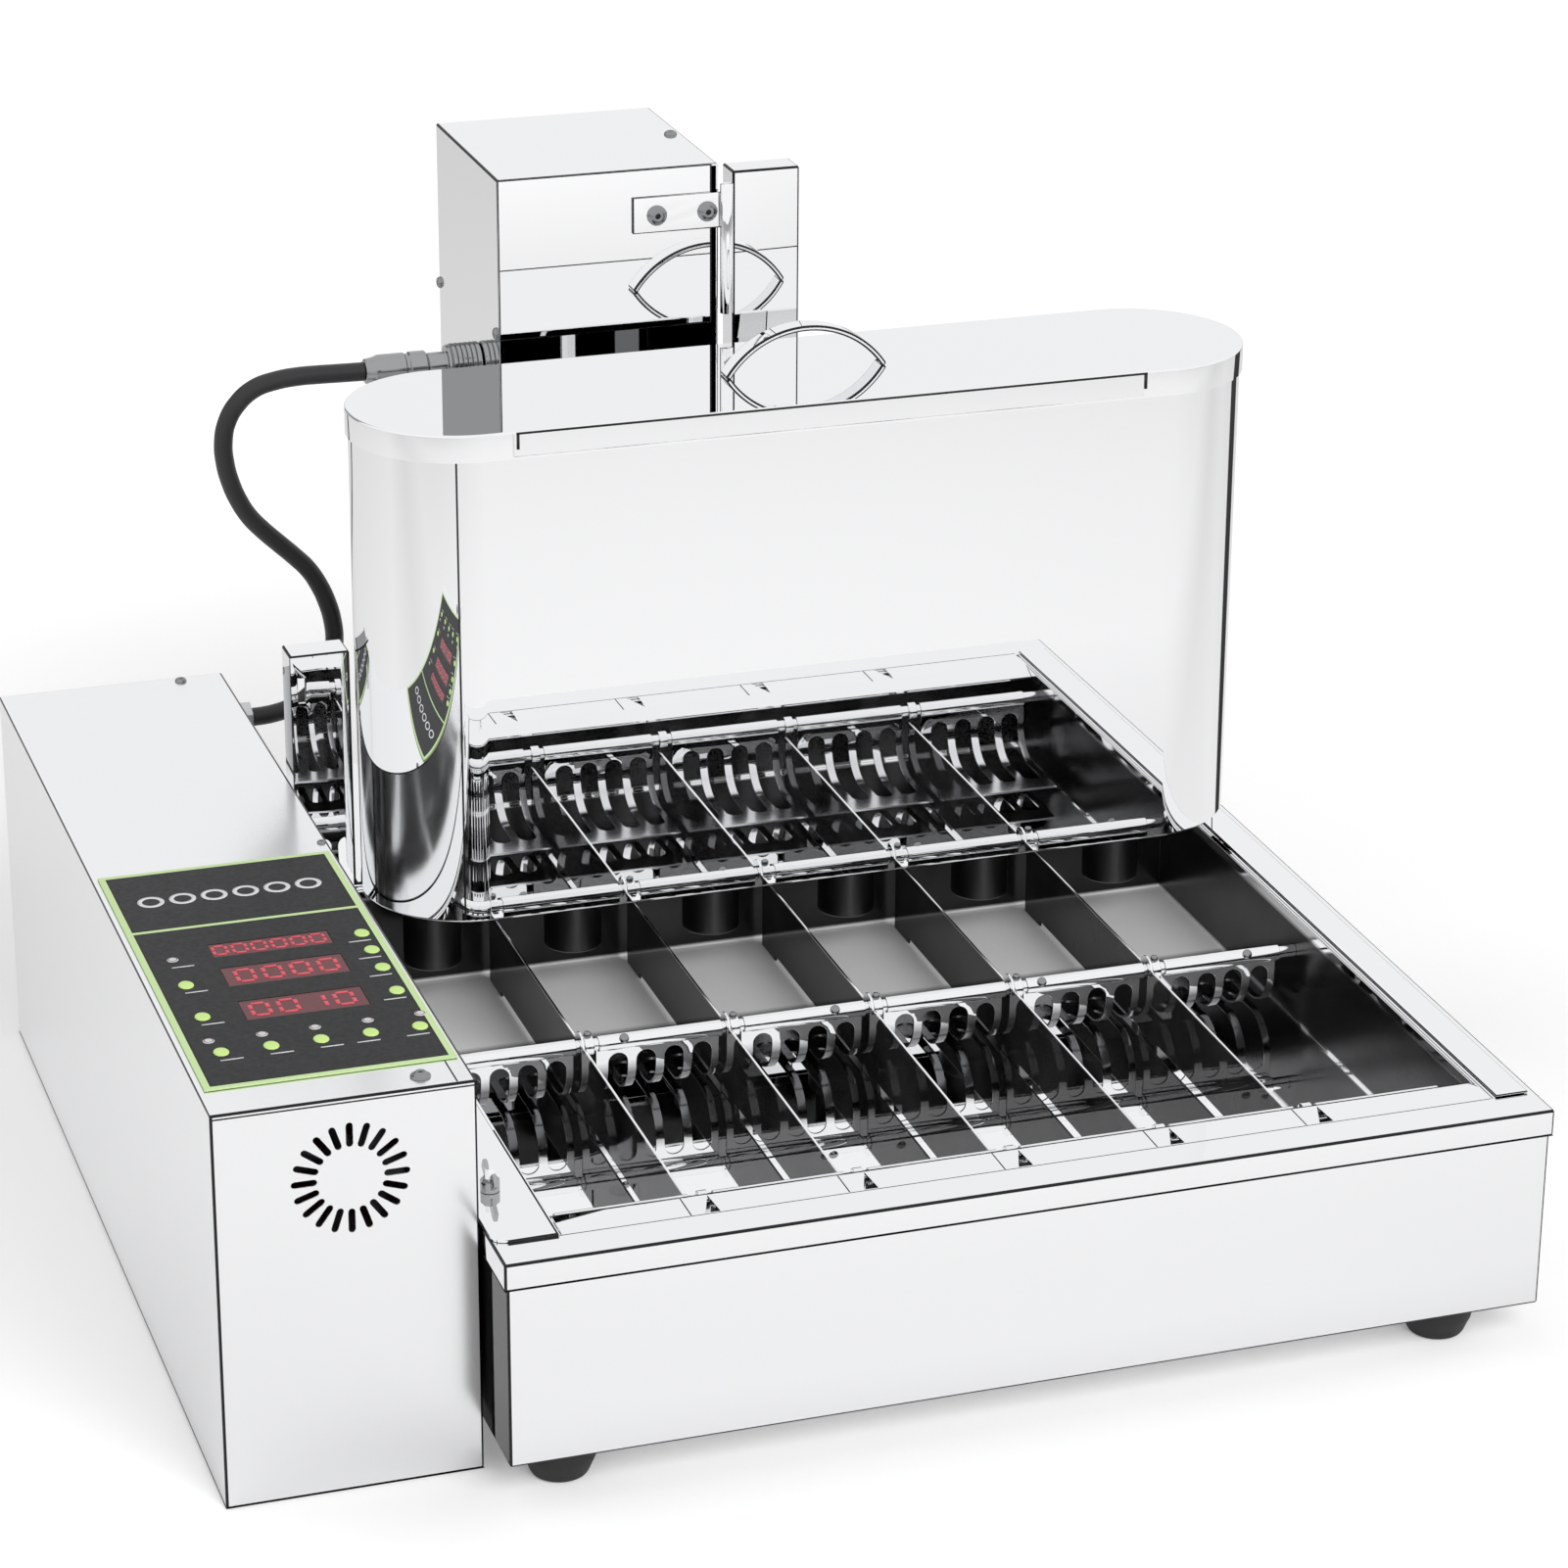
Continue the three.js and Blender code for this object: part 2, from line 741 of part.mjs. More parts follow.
// Cross section of a shovel: a hanging wall, a bend and a floor, about its shaft
function shovelOutline() {
  const half = shovelThick / 2;
  const centreY = shovelWallY + shovelBend;
  const centreZ = shovelBend - shovelDrop;
  const shape = new THREE.Shape();
  shape.moveTo(shovelWallY - half, -shovelWallTop);
  shape.absarc(centreY, centreZ, shovelBend + half, Math.PI, Math.PI * 1.5, false);
  shape.lineTo(shovelReach, -shovelDrop - half);
  shape.lineTo(shovelReach, -shovelDrop + half);
  shape.absarc(centreY, centreZ, shovelBend - half, Math.PI * 1.5, Math.PI, true);
  shape.lineTo(shovelWallY + half, -shovelWallTop);
  shape.closePath();
  return shape;
}

// One slot runs from a round top in the wall through the bend to a round end in the floor
function slotCutters(x) {
  const half = slotWide / 2;
  const topZ = -slotTop - half;
  const endY = shovelReach - shovelEndStrip - half;
  const behindWall = [shovelWallY - overrun, shovelWallY + overrun];
  return [
    block([x - half, x + half], [shovelWallY - overrun, endY], [-shovelDrop - overrun, topZ]),
    bar('y', half, behindWall, [x, topZ], slotSides),
    bar('z', half, [-shovelDrop - overrun, -shovelDrop + overrun], [x, endY], slotSides),
  ];
}

function shovel() {
  const across = [0, shovelWide];
  const cutters = [];
  for (let i = 0; i < slotCount; i += 1) cutters.push(...slotCutters(slotFirst + i * slotPitch));
  const plate = cutBy(outlineAlongX(shovelOutline(), across), cutters);
  const sleeve = bar('x', sleeveRadius, across, [0, 0], roundSides);
  const bore = bar('x', shaftRadius + gap, [-overrun, shovelWide + overrun], [0, 0], roundSides);
  return plate.add(sleeve).subtract(bore);
}

// Left cover plate with a round front corner and the stud for the wing nut
function coverLeft() {
  const left = fryerLeft + coverLeftMargin;
  const right = openingLeft - gap;
  const shape = new THREE.Shape();
  shape.moveTo(right, openingFront);
  shape.lineTo(right, coverBack);
  shape.lineTo(left, coverBack);
  shape.absarc(
    left + coverCornerRadius, openingFront + coverCornerRadius, coverCornerRadius, Math.PI, Math.PI * 1.5,
  );
  shape.closePath();
  const top = coverUnder + coverThick;
  const plate = outlineAlongZ(shape, [coverUnder, top]);
  const stud = bar('z', studRadius, [coverUnder, top + studTall], [studX, studY], coarseSides);
  return plate.add(stud);
}

function coverRight() {
  const left = openingRight + gap;
  return block([left, left + coverRightWide], [openingFront, coverBack], [coverUnder, coverUnder + coverThick]);
}

function wingNut() {
  const bottom = coverUnder + coverThick + gap;
  const across = [studX - wingThick / 2, studX + wingThick / 2];
  const hub = bar('z', nutRadius, [bottom, bottom + nutTall], [studX, studY], fineSides);
  const crown = bar('z', nutTopRadius, [bottom, bottom + nutTall + wingLift / 2], [studX, studY], fineSides);
  const half = wingSpan / 2;
  const tip = half - wingTall / 2;
  const outline = (side) => polygon([
    [studY, bottom + nutTall / 2],
    [studY + side * nutRadius, bottom + nutTall / 3],
    [studY + side * half, bottom + wingLift + wingTall / 2],
    [studY + side * (half - wingLift), bottom + wingLift + wingTall],
    [studY + side * tip, bottom + wingLift + wingTall],
    [studY, bottom + nutTall],
  ]);
  const wings = [outline(1), outline(-1)].map((shape) => outlineAlongX(shape, across));
  const bore = bar('z', studRadius + gap, [bottom - overrun, bottom + wingTall * 2], [studX, studY], coarseSides);
  return joined([hub, crown, ...wings]).subtract(bore);
}

// Flat ledge with a turned-down back edge, and a notch before each divider
function frontLedge() {
  const front = openingFront + gap;
  const flatEnd = front + ledgeFlat;
  const top = deckHeight;
  const outline = polygon([
    [front, top], [front, top - sheet], [flatEnd, top - sheet],
    [ledgeBack, top - sheet - ledgeDrop], [ledgeBack, top - ledgeDrop], [flatEnd, top],
  ]);
  const plate = outlineAlongX(outline, [tankLeft + gap, tankRight - gap]);
  const notches = [];
  for (let i = 1; i < laneCount; i += 1) {
    const x = firstLane + i * lanePitch;
    const base = front + notchFront;
    const notch = polygon([
      [x - notchLeftWide, base], [x + notchRightWide, base], [x, base + notchDeep],
    ]);
    notches.push(outlineAlongZ(notch, [top - ledgeDrop - overrun, top + overrun]));
  }
  return cutBy(plate, notches);
}

// A bent rod in rows under the tank floor
function heatingElement() {
  const z = tankFloorHeight - sheet - gap - heaterRadius;
  const left = tankLeft + heaterInset;
  const right = tankRight - heaterInset;
  const radius = heaterPitch / 2;
  const points = [];
  for (let i = 0; i < heaterLegs; i += 1) {
    const y = heaterFirstY + i * heaterPitch;
    const toRight = i % 2 === 0;
    const side = toRight ? 1 : -1;
    const [from, to] = toRight ? [left, right] : [right, left];
    points.push(new THREE.Vector3(from, y, z), new THREE.Vector3((from + to) / 2, y, z));
    points.push(new THREE.Vector3(to, y, z));
    if (i < heaterLegs - 1) points.push(new THREE.Vector3(to + side * radius, y + radius, z));
  }
  return tube(points, heaterRadius, heaterSides, heaterSteps);
}

function tube(points, radius, sides, steps) {
  const corners = [];
  for (let i = 0; i < sides; i += 1) {
    const turn = Math.PI * 2 * i / sides;
    corners.push([radius * Math.cos(turn), radius * Math.sin(turn)]);
  }
  const extrudePath = new THREE.CatmullRomCurve3(points, false, 'centripetal');
  return solid(new THREE.ExtrudeGeometry(polygon(corners), { steps, extrudePath, bevelEnabled: false }));
}

function rubberFoot(x, y) {
  const profile = [
    [0, 0], [footBottomRadius, 0], [footTopRadius, footFlare], [footTopRadius, footHeight], [0, footHeight],
  ];
  const geometry = new THREE.LatheGeometry(profile.map(([r, z]) => new THREE.Vector2(r, z)), fineSides);
  geometry.rotateX(Math.PI / 2);
  geometry.translate(x, y, 0);
  return solid(geometry);
}

// Tub with round ends and six nozzles under its floor
function hopperBody() {
  const top = lidTop - sheet - gap;
  const outer = outlineAlongZ(roundEnded(0), [hopperBottom, top], hopperEndSteps);
  const hollow = outlineAlongZ(roundEnded(-sheet), [hopperBottom + sheet, top + overrun], hopperEndSteps);
  const y = (hopperFront + hopperBack) / 2;
  const centres = [];
  for (let i = 0; i < laneCount; i += 1) centres.push([firstLane + (i + 0.5) * lanePitch, y]);
  const length = [nozzleTip, hopperBottom + sheet];
  const through = [nozzleTip - overrun, hopperBottom + overrun];
  const nozzles = centres.map((place) => bar('z', nozzleRadius, length, place, roundSides));
  const bores = centres.map((place) => bar('z', nozzleBore, through, place, coarseSides));
  return cutBy(joined([outer.subtract(hollow), ...nozzles]), bores);
}

function hopperLid() {
  const outer = outlineAlongZ(roundEnded(gap + sheet), [lidBottom, lidTop], hopperEndSteps);
  const hollow = outlineAlongZ(roundEnded(gap), [lidBottom - overrun, lidTop - sheet], hopperEndSteps);
  const front = hopperFront - gap - sheet;
  const lip = block(
    [hopperLeft + lidLipStart, hopperLeft + lidLipEnd],
    [front - lidLipProud, front + sheet],
    [lidTop - lidLipTall, lidTop],
  );
  return outer.add(lip).subtract(hollow);
}

// A strap bent into an arch
function lidHandle() {
  const half = handleSpan / 2;
  const radius = (half * half + handleRise * handleRise) / (handleRise * 2);
  const centreX = hopperLeft + handleLeft + half;
  const baseZ = lidTop + gap;
  const centreZ = baseZ + handleRise - radius;
  const inner = radius - handleThick;
  const innerDrop = Math.acos((baseZ - centreZ) / inner);
  const outerDrop = Math.acos((baseZ - centreZ) / radius);
  const shape = new THREE.Shape();
  shape.absarc(centreX, centreZ, radius, Math.PI / 2 - outerDrop, Math.PI / 2 + outerDrop, false);
  shape.absarc(centreX, centreZ, inner, Math.PI / 2 + innerDrop, Math.PI / 2 - innerDrop, true);
  shape.closePath();
  const middleY = (hopperFront + hopperBack) / 2;
  return outlineAlongY(shape, [middleY - handleWide / 2, middleY + handleWide / 2], handleSteps);
}

// Folded post at the left, open to the back, with a shelf under the hopper
function postLeft() {
  const left = fryerLeft + postLeftMargin;
  const right = left + postLeftWide;
  const y = [postFront, postFront + postDeep];
  const channel = block([left, right], y, [coverUnder, postHeight]).subtract(block(
    [left + postThick, right - postThick],
    [postFront + postThick, postFront + postDeep + overrun],
    [coverUnder - overrun, postHeight - postThick],
  ));
  const shelf = block([left, right + shelfReach], y, [hopperBottom - gap - shelfThick, hopperBottom - gap]);
  const slotMiddle = postHeight - postSlotBelowTop;
  const slot = block(
    [left + postThick * 2, left + postThick * 2 + postSlotWide],
    [postFront - overrun, postFront + postThick + overrun],
    [slotMiddle - postSlotTall / 2, slotMiddle + postSlotTall / 2],
  );
  return channel.add(shelf).subtract(slot);
}

// Narrow post at the right with two holes, and its shelf under the hopper
function postRight() {
  const right = fryerRight - postRightMargin;
  const left = right - postRightWide;
  const y = [postFront, postFront + postDeep];
  const channel = block([left, right], y, [coverUnder, postHeight]).subtract(block(
    [left + postThick, right - postThick],
    [postFront + postThick, postFront + postDeep + overrun],
    [coverUnder - overrun, postHeight - postThick],
  ));
  const shelf = block([left - shelfReach, right], y, [hopperBottom - gap - shelfThick, hopperBottom - gap]);
  const middleY = postFront + postDeep / 2;
  const holes = [deckHeight + postHoleLow, deckHeight + postHoleHigh].map((z) => bar(
    'x', postHoleRadius, [right - postThick - gap, right + overrun], [middleY, z], coarseSides,
  ));
  return cutBy(channel.add(shelf), holes);
}

// Tall casing of the dosing tower, open at the front and the bottom
function towerCasing() {
  const front = towerFront + sheet + gap;
  const outer = block([towerLeft, towerRight], [front, towerFront + towerDeep], [coverUnder, towerTop]);
  const hollow = block(
    [towerLeft + sheet, towerRight - sheet],
    [front - overrun, towerFront + towerDeep - sheet],
    [coverUnder - overrun, towerTop - sheet],
  );
  return outer.subtract(hollow);
}

function towerPanel() {
  const right = towerRight - panelRightMargin;
  const plate = block([towerLeft, right], [towerFront, towerFront + sheet], [panelBottom, towerTop]);
  const returned = block(
    [towerLeft + sheet + gap, right],
    [towerFront, towerFront + panelReturn],
    [panelBottom, panelBottom + sheet],
  );
  return plate.add(returned);
}

// Bracket on the tower panel with a round bar that stands in the gap to the column
function tieBracket() {
  const back = towerFront - gap;
  const front = back - bracketThick;
  const top = bracketBottom + bracketTall;
  const plate = block([bracketLeft, knuckleX], [front, back], [bracketBottom, top]);
  const knuckle = bar(
    'z', knuckleRadius, [bracketBottom - knuckleBelow, top + knuckleAbove], [knuckleX, back - knuckleRadius],
  );
  const middle = bracketBottom + bracketTall / 2;
  const holes = [bracketHoleFirst, bracketHoleFirst + bracketHolePitch].map((place) => bar(
    'y', bracketHole, [front - overrun, back + overrun], [bracketLeft + place, middle], coarseSides,
  ));
  return cutBy(plate.add(knuckle), holes);
}

function liftColumn() {
  const outer = block(
    [columnLeft, columnLeft + columnWide], [towerFront, towerFront + columnDeep], [coverUnder, columnTop],
  );
  const hollow = block(
    [columnLeft + sheet, columnLeft + columnWide - sheet],
    [towerFront + sheet, towerFront + columnDeep - sheet],
    [coverUnder - overrun, columnTop - sheet],
  );
  return outer.subtract(hollow);
}

// Stepped fitting on the left wall of the tower
function hoseFitting() {
  const start = towerLeft - gap;
  const neck = start - fittingNutLong;
  const tail = neck - fittingNeckLong;
  const place = [fittingY, fittingZ];
  const pieces = [
    bar('x', fittingNutRadius, [neck, start], place, nutSides),
    bar('x', fittingNeckRadius, [tail, start], place),
    bar('x', fittingTailRadius, [tail - fittingTailLong, tail], place),
  ];
  const bore = bar('x', fittingBore, [tail - fittingTailLong - overrun, start + overrun], place, coarseSides);
  return joined(pieces).subtract(bore);
}

function hoseGland() {
  const start = boxWidth + gap;
  const body = bar('x', glandRadius, [start, start + glandLong], [glandY, glandZ], nutSides);
  const bore = bar('x', glandBore, [start - overrun, start + glandLong + overrun], [glandY, glandZ], coarseSides);
  return body.subtract(bore);
}

// The hose leaves the fitting to the left, drops, and ends square to the gland
function airHose() {
  const top = new THREE.Vector3(
    towerLeft - gap * 2 - fittingNutLong - fittingNeckLong - fittingTailLong, fittingY, fittingZ,
  );
  const bottom = new THREE.Vector3(boxWidth + gap * 2 + glandLong, glandY, glandZ);
  const points = [top, top.clone().setX(top.x - hoseLeadTop)];
  hoseAcrossShares.forEach((acrossShare, i) => {
    const upShare = hoseUpShares[i];
    points.push(new THREE.Vector3(
      bottom.x + (top.x - bottom.x) * acrossShare,
      bottom.y + (top.y - bottom.y) * upShare,
      bottom.z + (top.z - bottom.z) * upShare,
    ));
  });
  points.push(bottom.clone().setX(bottom.x + hoseLeadBottom), bottom);
  return tube(points, hoseRadius, hoseSides, hoseSteps);
}

addPiece('control_casing', controlCasing(), polished);
addPiece('control_base', controlBase(), satin);
addPiece('control_panel', controlPanel(), panelBlack);
addPiece('display_board', displayBoard(), boardGreen);
keyPlaces().forEach((place, i) => addPiece(`key_${i + 1}`, panelKey(place), keyGreen));
addPiece('fan_frame', fanFrame(), fanBlack);
addPiece('fan_rotor', fanRotor(), fanBlack);
addPiece('hose_gland', hoseGland(), satin);

addPiece('fryer_body', fryerBody(), polished);
addPiece('fryer_deck', fryerDeck(), polished);
addPiece('oil_tank', oilTank(), polished);
addPiece('heating_element', heatingElement(), darkSteel);
for (let i = 1; i < laneCount; i += 1) {
  addPiece(`lane_divider_${i}`, laneDivider(firstLane + i * lanePitch), polished);
}
addPiece('rear_shovel_shaft', shovelShaft(rearShaftY, rearShaftZ), polished);
addPiece('front_shovel_shaft', shovelShaft(frontShaftY, frontShaftZ), polished);
const oneShovel = shovel();
for (let i = 0; i < laneCount; i += 1) {
  const x = firstLane + i * lanePitch + shovelInset;
  addPiece(`rear_shovel_${i + 1}`, moved(oneShovel, x, rearShaftY, rearShaftZ), polished);
  addPiece(`front_shovel_${i + 1}`, moved(oneShovel, x, frontShaftY, frontShaftZ), polished);
}
addPiece('cover_left', coverLeft(), polished);
addPiece('cover_right', coverRight(), polished);
addPiece('wing_nut', wingNut(), satin);
addPiece('front_ledge', frontLedge(), polished);
[[fryerLeft + footInsetLeft, 'left'], [fryerRight - footInsetRight, 'right']].forEach(([x, across]) => {
  [[fryerFront + footInsetY, 'front'], [fryerBack - footInsetY, 'back']].forEach(([y, along]) => {
    addPiece(`foot_${along}_${across}`, rubberFoot(x, y), rubber);
  });
});

addPiece('hopper_body', hopperBody(), polished);
addPiece('hopper_lid', hopperLid(), polished);
addPiece('lid_handle', lidHandle(), polished);
addPiece('post_left', postLeft(), polished);
addPiece('post_right', postRight(), polished);
addPiece('tower_casing', towerCasing(), polished);
addPiece('tower_panel', towerPanel(), polished);
addPiece('tie_bracket', tieBracket(), polished);
addPiece('lift_column', liftColumn(), polished);
addPiece('hose_fitting', hoseFitting(), satin);
addPiece('air_hose', airHose(), rubber);

// The origin lies in the middle of the machine's base
machine.children.forEach((mesh) => mesh.geometry.translate(-originX, -originY, 0));

export default machine;
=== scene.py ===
# %% [markdown]
# Donut making machine, the looks. The solids come from the imported model as a fixed frame, in
# metres. Every piece made here sits where a solid sits and rides on the same body, so that the
# moving pieces still turn, lift and press. Most of the machine is mirror polished sheet steel,
# so this lesson is about clean bent sheets, soft edges and what the steel has to reflect.

# %% Load the frame and set the millimetre
import json
import math

import bmesh
import bpy
from mathutils import Matrix, Vector
from mathutils.geometry import interpolate_bezier

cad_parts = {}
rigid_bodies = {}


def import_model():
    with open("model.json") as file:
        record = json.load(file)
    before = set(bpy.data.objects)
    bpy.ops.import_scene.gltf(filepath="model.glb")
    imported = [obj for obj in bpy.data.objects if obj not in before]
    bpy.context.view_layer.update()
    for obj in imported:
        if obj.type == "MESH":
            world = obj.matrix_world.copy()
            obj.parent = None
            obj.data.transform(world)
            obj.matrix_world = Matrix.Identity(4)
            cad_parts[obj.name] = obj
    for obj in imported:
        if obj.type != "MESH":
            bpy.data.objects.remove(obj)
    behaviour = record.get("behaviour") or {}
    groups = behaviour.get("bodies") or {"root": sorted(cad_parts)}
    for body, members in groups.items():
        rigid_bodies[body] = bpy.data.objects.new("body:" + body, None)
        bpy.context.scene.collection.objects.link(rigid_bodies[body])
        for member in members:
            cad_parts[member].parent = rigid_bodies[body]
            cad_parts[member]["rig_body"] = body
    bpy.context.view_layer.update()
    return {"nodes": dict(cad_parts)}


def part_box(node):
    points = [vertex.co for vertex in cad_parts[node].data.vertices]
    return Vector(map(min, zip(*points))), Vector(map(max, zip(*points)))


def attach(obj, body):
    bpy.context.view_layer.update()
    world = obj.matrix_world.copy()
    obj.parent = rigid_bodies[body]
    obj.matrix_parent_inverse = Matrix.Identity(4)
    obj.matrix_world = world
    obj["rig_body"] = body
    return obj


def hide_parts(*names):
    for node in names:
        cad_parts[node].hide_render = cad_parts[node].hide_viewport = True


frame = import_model()
nodes = frame["nodes"]
MM = 0.001

# %% [markdown]
# The photograph is taken from the front left, a little above the machine, with a long lens. The
# eye's place and turn were fitted to the edges of the control box, the fryer and the hopper. A
# camera could be aimed by a constraint, but a matrix built from its own three directions keeps
# the small roll too. It comes first, because every later choice is judged through it.

# %% Camera
EYE = Vector((-0.89641, -2.80569, 1.47973))
YAW = math.radians(18.514)
DIP = math.radians(22.138)
ROLL = math.radians(0.357)
LENS_MM = 110.138
SENSOR_MM = 36

forward = Vector((math.sin(YAW) * math.cos(DIP), math.cos(YAW) * math.cos(DIP), -math.sin(DIP)))
level_right = forward.cross(Vector((0, 0, 1))).normalized()
level_up = level_right.cross(forward)
right = level_right * math.cos(ROLL) + level_up * math.sin(ROLL)
up = level_up * math.cos(ROLL) - level_right * math.sin(ROLL)
camera = bpy.data.objects.new("camera", bpy.data.cameras.new("camera"))
camera.data.lens = LENS_MM
camera.data.sensor_width = SENSOR_MM
camera.matrix_world = Matrix((right, up, -forward)).transposed().to_4x4()
camera.location = EYE
bpy.context.scene.collection.objects.link(camera)
bpy.context.scene.camera = camera
print("camera at", tuple(round(value, 3) for value in EYE))

# %% [markdown]
# Shader sums could be wired by hand, node by node, but they read better as plain Python. A Wire
# holds one output of a node, and adding, multiplying or comparing wires adds the Math nodes
# behind the scenes.

# %% Wires
class Wire:
    def __init__(self, finish, socket):
        self.finish = finish
        self.socket = socket

    def maths(self, operation, *values):
        inputs = dict(enumerate(values))
        return self.finish.node("ShaderNodeMath", {"operation": operation}, inputs)

    def __add__(self, other):
        return self.maths("ADD", self, other)

    def __sub__(self, other):
        return self.maths("SUBTRACT", self, other)

    def __rsub__(self, other):
        return self.maths("SUBTRACT", other, self)

    def __mul__(self, other):
        return self.maths("MULTIPLY", self, other)

    __radd__ = __add__
    __rmul__ = __mul__

    def __lt__(self, other):
        return self.maths("LESS_THAN", self, other)

    def smaller(self, other):
        return self.maths("MINIMUM", self, other)

    def larger(self, other):
        return self.maths("MAXIMUM", self, other)

    def away(self, other):
        gap = self - other
        return gap.maths("ABSOLUTE", gap)


print("wires ready")

# %% [markdown]
# A Finish holds one material, and its node method makes any node that isn't plain maths. The
# short methods under it save writing the same sockets again: a point's own place on the piece,
# noise, a value spread over a range, a mix of two colours, and a dent behind the normal.

# %% Finishes
class Finish:
    def __init__(self, name, **constants):
        self.material = bpy.data.materials.new(name)
        self.material.use_nodes = True
        self.tree = self.material.node_tree
        self.shader = self.tree.nodes["Principled BSDF"]
        for socket_name, value in constants.items():
            self.shader.inputs[socket_name.replace("_", " ")].default_value = value

    def node(self, kind, settings=None, inputs=None, out=0):
        made = self.tree.nodes.new(kind)
        for setting, value in (settings or {}).items():
            setattr(made, setting, value)
        for place, value in (inputs or {}).items():
            self.feed(made.inputs[place], value)
        return Wire(self, made.outputs[out])

    def feed(self, socket, value):
        if isinstance(value, Wire):
            self.tree.links.new(value.socket, socket)
        else:
            socket.default_value = value

    def drive(self, socket_name, value):
        self.feed(self.shader.inputs[socket_name], value)

    def place(self):
        return self.node("ShaderNodeTexCoord", out="Object")

    def split(self, vector):
        separate = self.node("ShaderNodeSeparateXYZ", inputs={0: vector}).socket.node
        return [Wire(self, output) for output in separate.outputs]

    def axes(self):
        return self.split(self.place())

    def ray(self, kind):
        return self.node("ShaderNodeLightPath", out=f"Is {kind} Ray")

    def noise(self, scale, detail=2.0, stretch=(1, 1, 1)):
        mapped = self.node("ShaderNodeMapping", inputs={"Vector": self.place(), "Scale": stretch})
        inputs = {"Vector": mapped, "Scale": scale, "Detail": detail}
        return self.node("ShaderNodeTexNoise", inputs=inputs)

    def span(self, value, low, high, low_out=0.0, high_out=1.0):
        inputs = {0: value, 1: low, 2: high, 3: low_out, 4: high_out}
        return self.node("ShaderNodeMapRange", {"clamp": True}, inputs)

    def mix(self, share, first, second):
        inputs = {"Factor": share, 6: first, 7: second}
        return self.node("ShaderNodeMix", {"data_type": "RGBA"}, inputs, out=2)

    def mottled(self, scale, detail, low, high):
        return self.mix(self.span(self.noise(scale, detail), 0.3, 0.8), (*low, 1), (*high, 1))

    def dent(self, height, strength, distance):
        inputs = {"Height": height, "Strength": strength, "Distance": distance}
        self.drive("Normal", self.node("ShaderNodeBump", inputs=inputs))


print("finish helper ready")

# %% [markdown]
# Polished stainless steel is a mirror with a very slight unevenness: the sheet is never quite
# flat, and wiping leaves faint cloudy marks. A picture of scratches could give that, but noise
# on the piece's own place needs no picture and stays put in every view. One noise stands behind
# a weak bump and one behind the roughness. Brushed steel has its grain drawn out along one axis.

# %% Steel finishes
SHEET_COLOUR = (0.93, 0.934, 0.94)
SHEET_WAVE = 1.5 * MM
CLOUDING = 0.02


def wipe_marks(finish, rough=0.0):
    marks = finish.noise(9.0, 3.0)
    finish.drive("Roughness", finish.span(marks, 0.35, 0.75, rough, rough + CLOUDING))
    finish.dent(finish.noise(5.0, 1.0), 0.012, SHEET_WAVE)


def polished_steel(name, colour, rough=0.0):
    finish = Finish(name, Metallic=1.0, Base_Color=(*colour, 1))
    wipe_marks(finish, rough)
    return finish.material


def brushed_steel(name, colour, rough=0.3):
    finish = Finish(name, Metallic=1.0, Base_Color=(*colour, 1))
    grain = finish.noise(60.0, 4.0, (1, 40, 40))
    finish.drive("Roughness", finish.span(grain, 0.3, 0.7, rough - 0.06, rough + 0.08))
    finish.dent(grain, 0.12, 0.1 * MM)
    return finish.material


mirror = polished_steel("mirror_steel", SHEET_COLOUR)
casing_steel = polished_steel("casing_steel", SHEET_COLOUR, 0.2)
# Dark steel for fold bevels: a painted dark reflection of the bends.
painted_fold_reflection = polished_steel("painted_fold_reflection", (0.03, 0.03, 0.032), 0.25)
# The nozzles' steel is darkened as painted shade, so they sink into the dark under the hopper.
painted_shade_nozzle_steel = polished_steel("painted_shade_nozzle_steel", (0.12, 0.121, 0.123), 0.34)
fitting_grey = polished_steel("fitting_grey", (0.36, 0.365, 0.37), 0.12)
nut_steel = polished_steel("nut_steel", (0.42, 0.423, 0.43), 0.12)
satin = brushed_steel("satin_steel", (0.62, 0.63, 0.64))
heater_steel = brushed_steel("heater_steel", (0.16, 0.16, 0.17), 0.42)
screw_steel = brushed_steel("screw_steel", (0.3, 0.305, 0.31), 0.2)
print("steel finishes made")

# %% [markdown]
# The oil tank is one pan, but its floor shines while its walls look nearly black, because they
# have only other dark walls to mirror, and that dark reflection is painted into their colour. Two
# materials on one mesh would need a cut along the floor's edge. One material that follows the
# height above the floor needs none. The floor under the hopper, where batter drops, is duller than
# the rest.

# %% Tank finish
TANK_FLOOR, TANK_RIM = 88 * MM, 154 * MM
DULL_FROM = 42 * MM


def tank_finish():
    finish = Finish("tank_steel", Metallic=1.0)
    _, along, height = finish.axes()
    wall = finish.span(height, TANK_FLOOR + 1 * MM, TANK_FLOOR + 3 * MM)
    rim = finish.span(height, TANK_RIM, TANK_RIM + 4 * MM)
    # The walls between floor and rim get a painted dark reflection, mottled at random.
    painted_dark_walls = wall * (1 - rim)
    dull = finish.span(along, DULL_FROM, DULL_FROM + 10 * MM) * (1 - wall)
    painted_dark_tone = finish.mottled(14.0, 4.0, (0.03, 0.0302, 0.0305), (0.075, 0.0755, 0.076))
    smears = finish.span(finish.noise(10.0, 3.0), 0.3, 0.8, 0.0, 0.03)
    finish.drive("Metallic", 1 - dull)
    finish.drive("Base Color", finish.mix(painted_dark_walls, (0.96, 0.963, 0.966, 1), painted_dark_tone))
    finish.drive("Roughness", smears + painted_dark_walls * 0.22)
    finish.dent(finish.noise(6.0, 1.0), 0.015, SHEET_WAVE)
    return finish.material


tank_steel = tank_finish()
print("tank finish made")

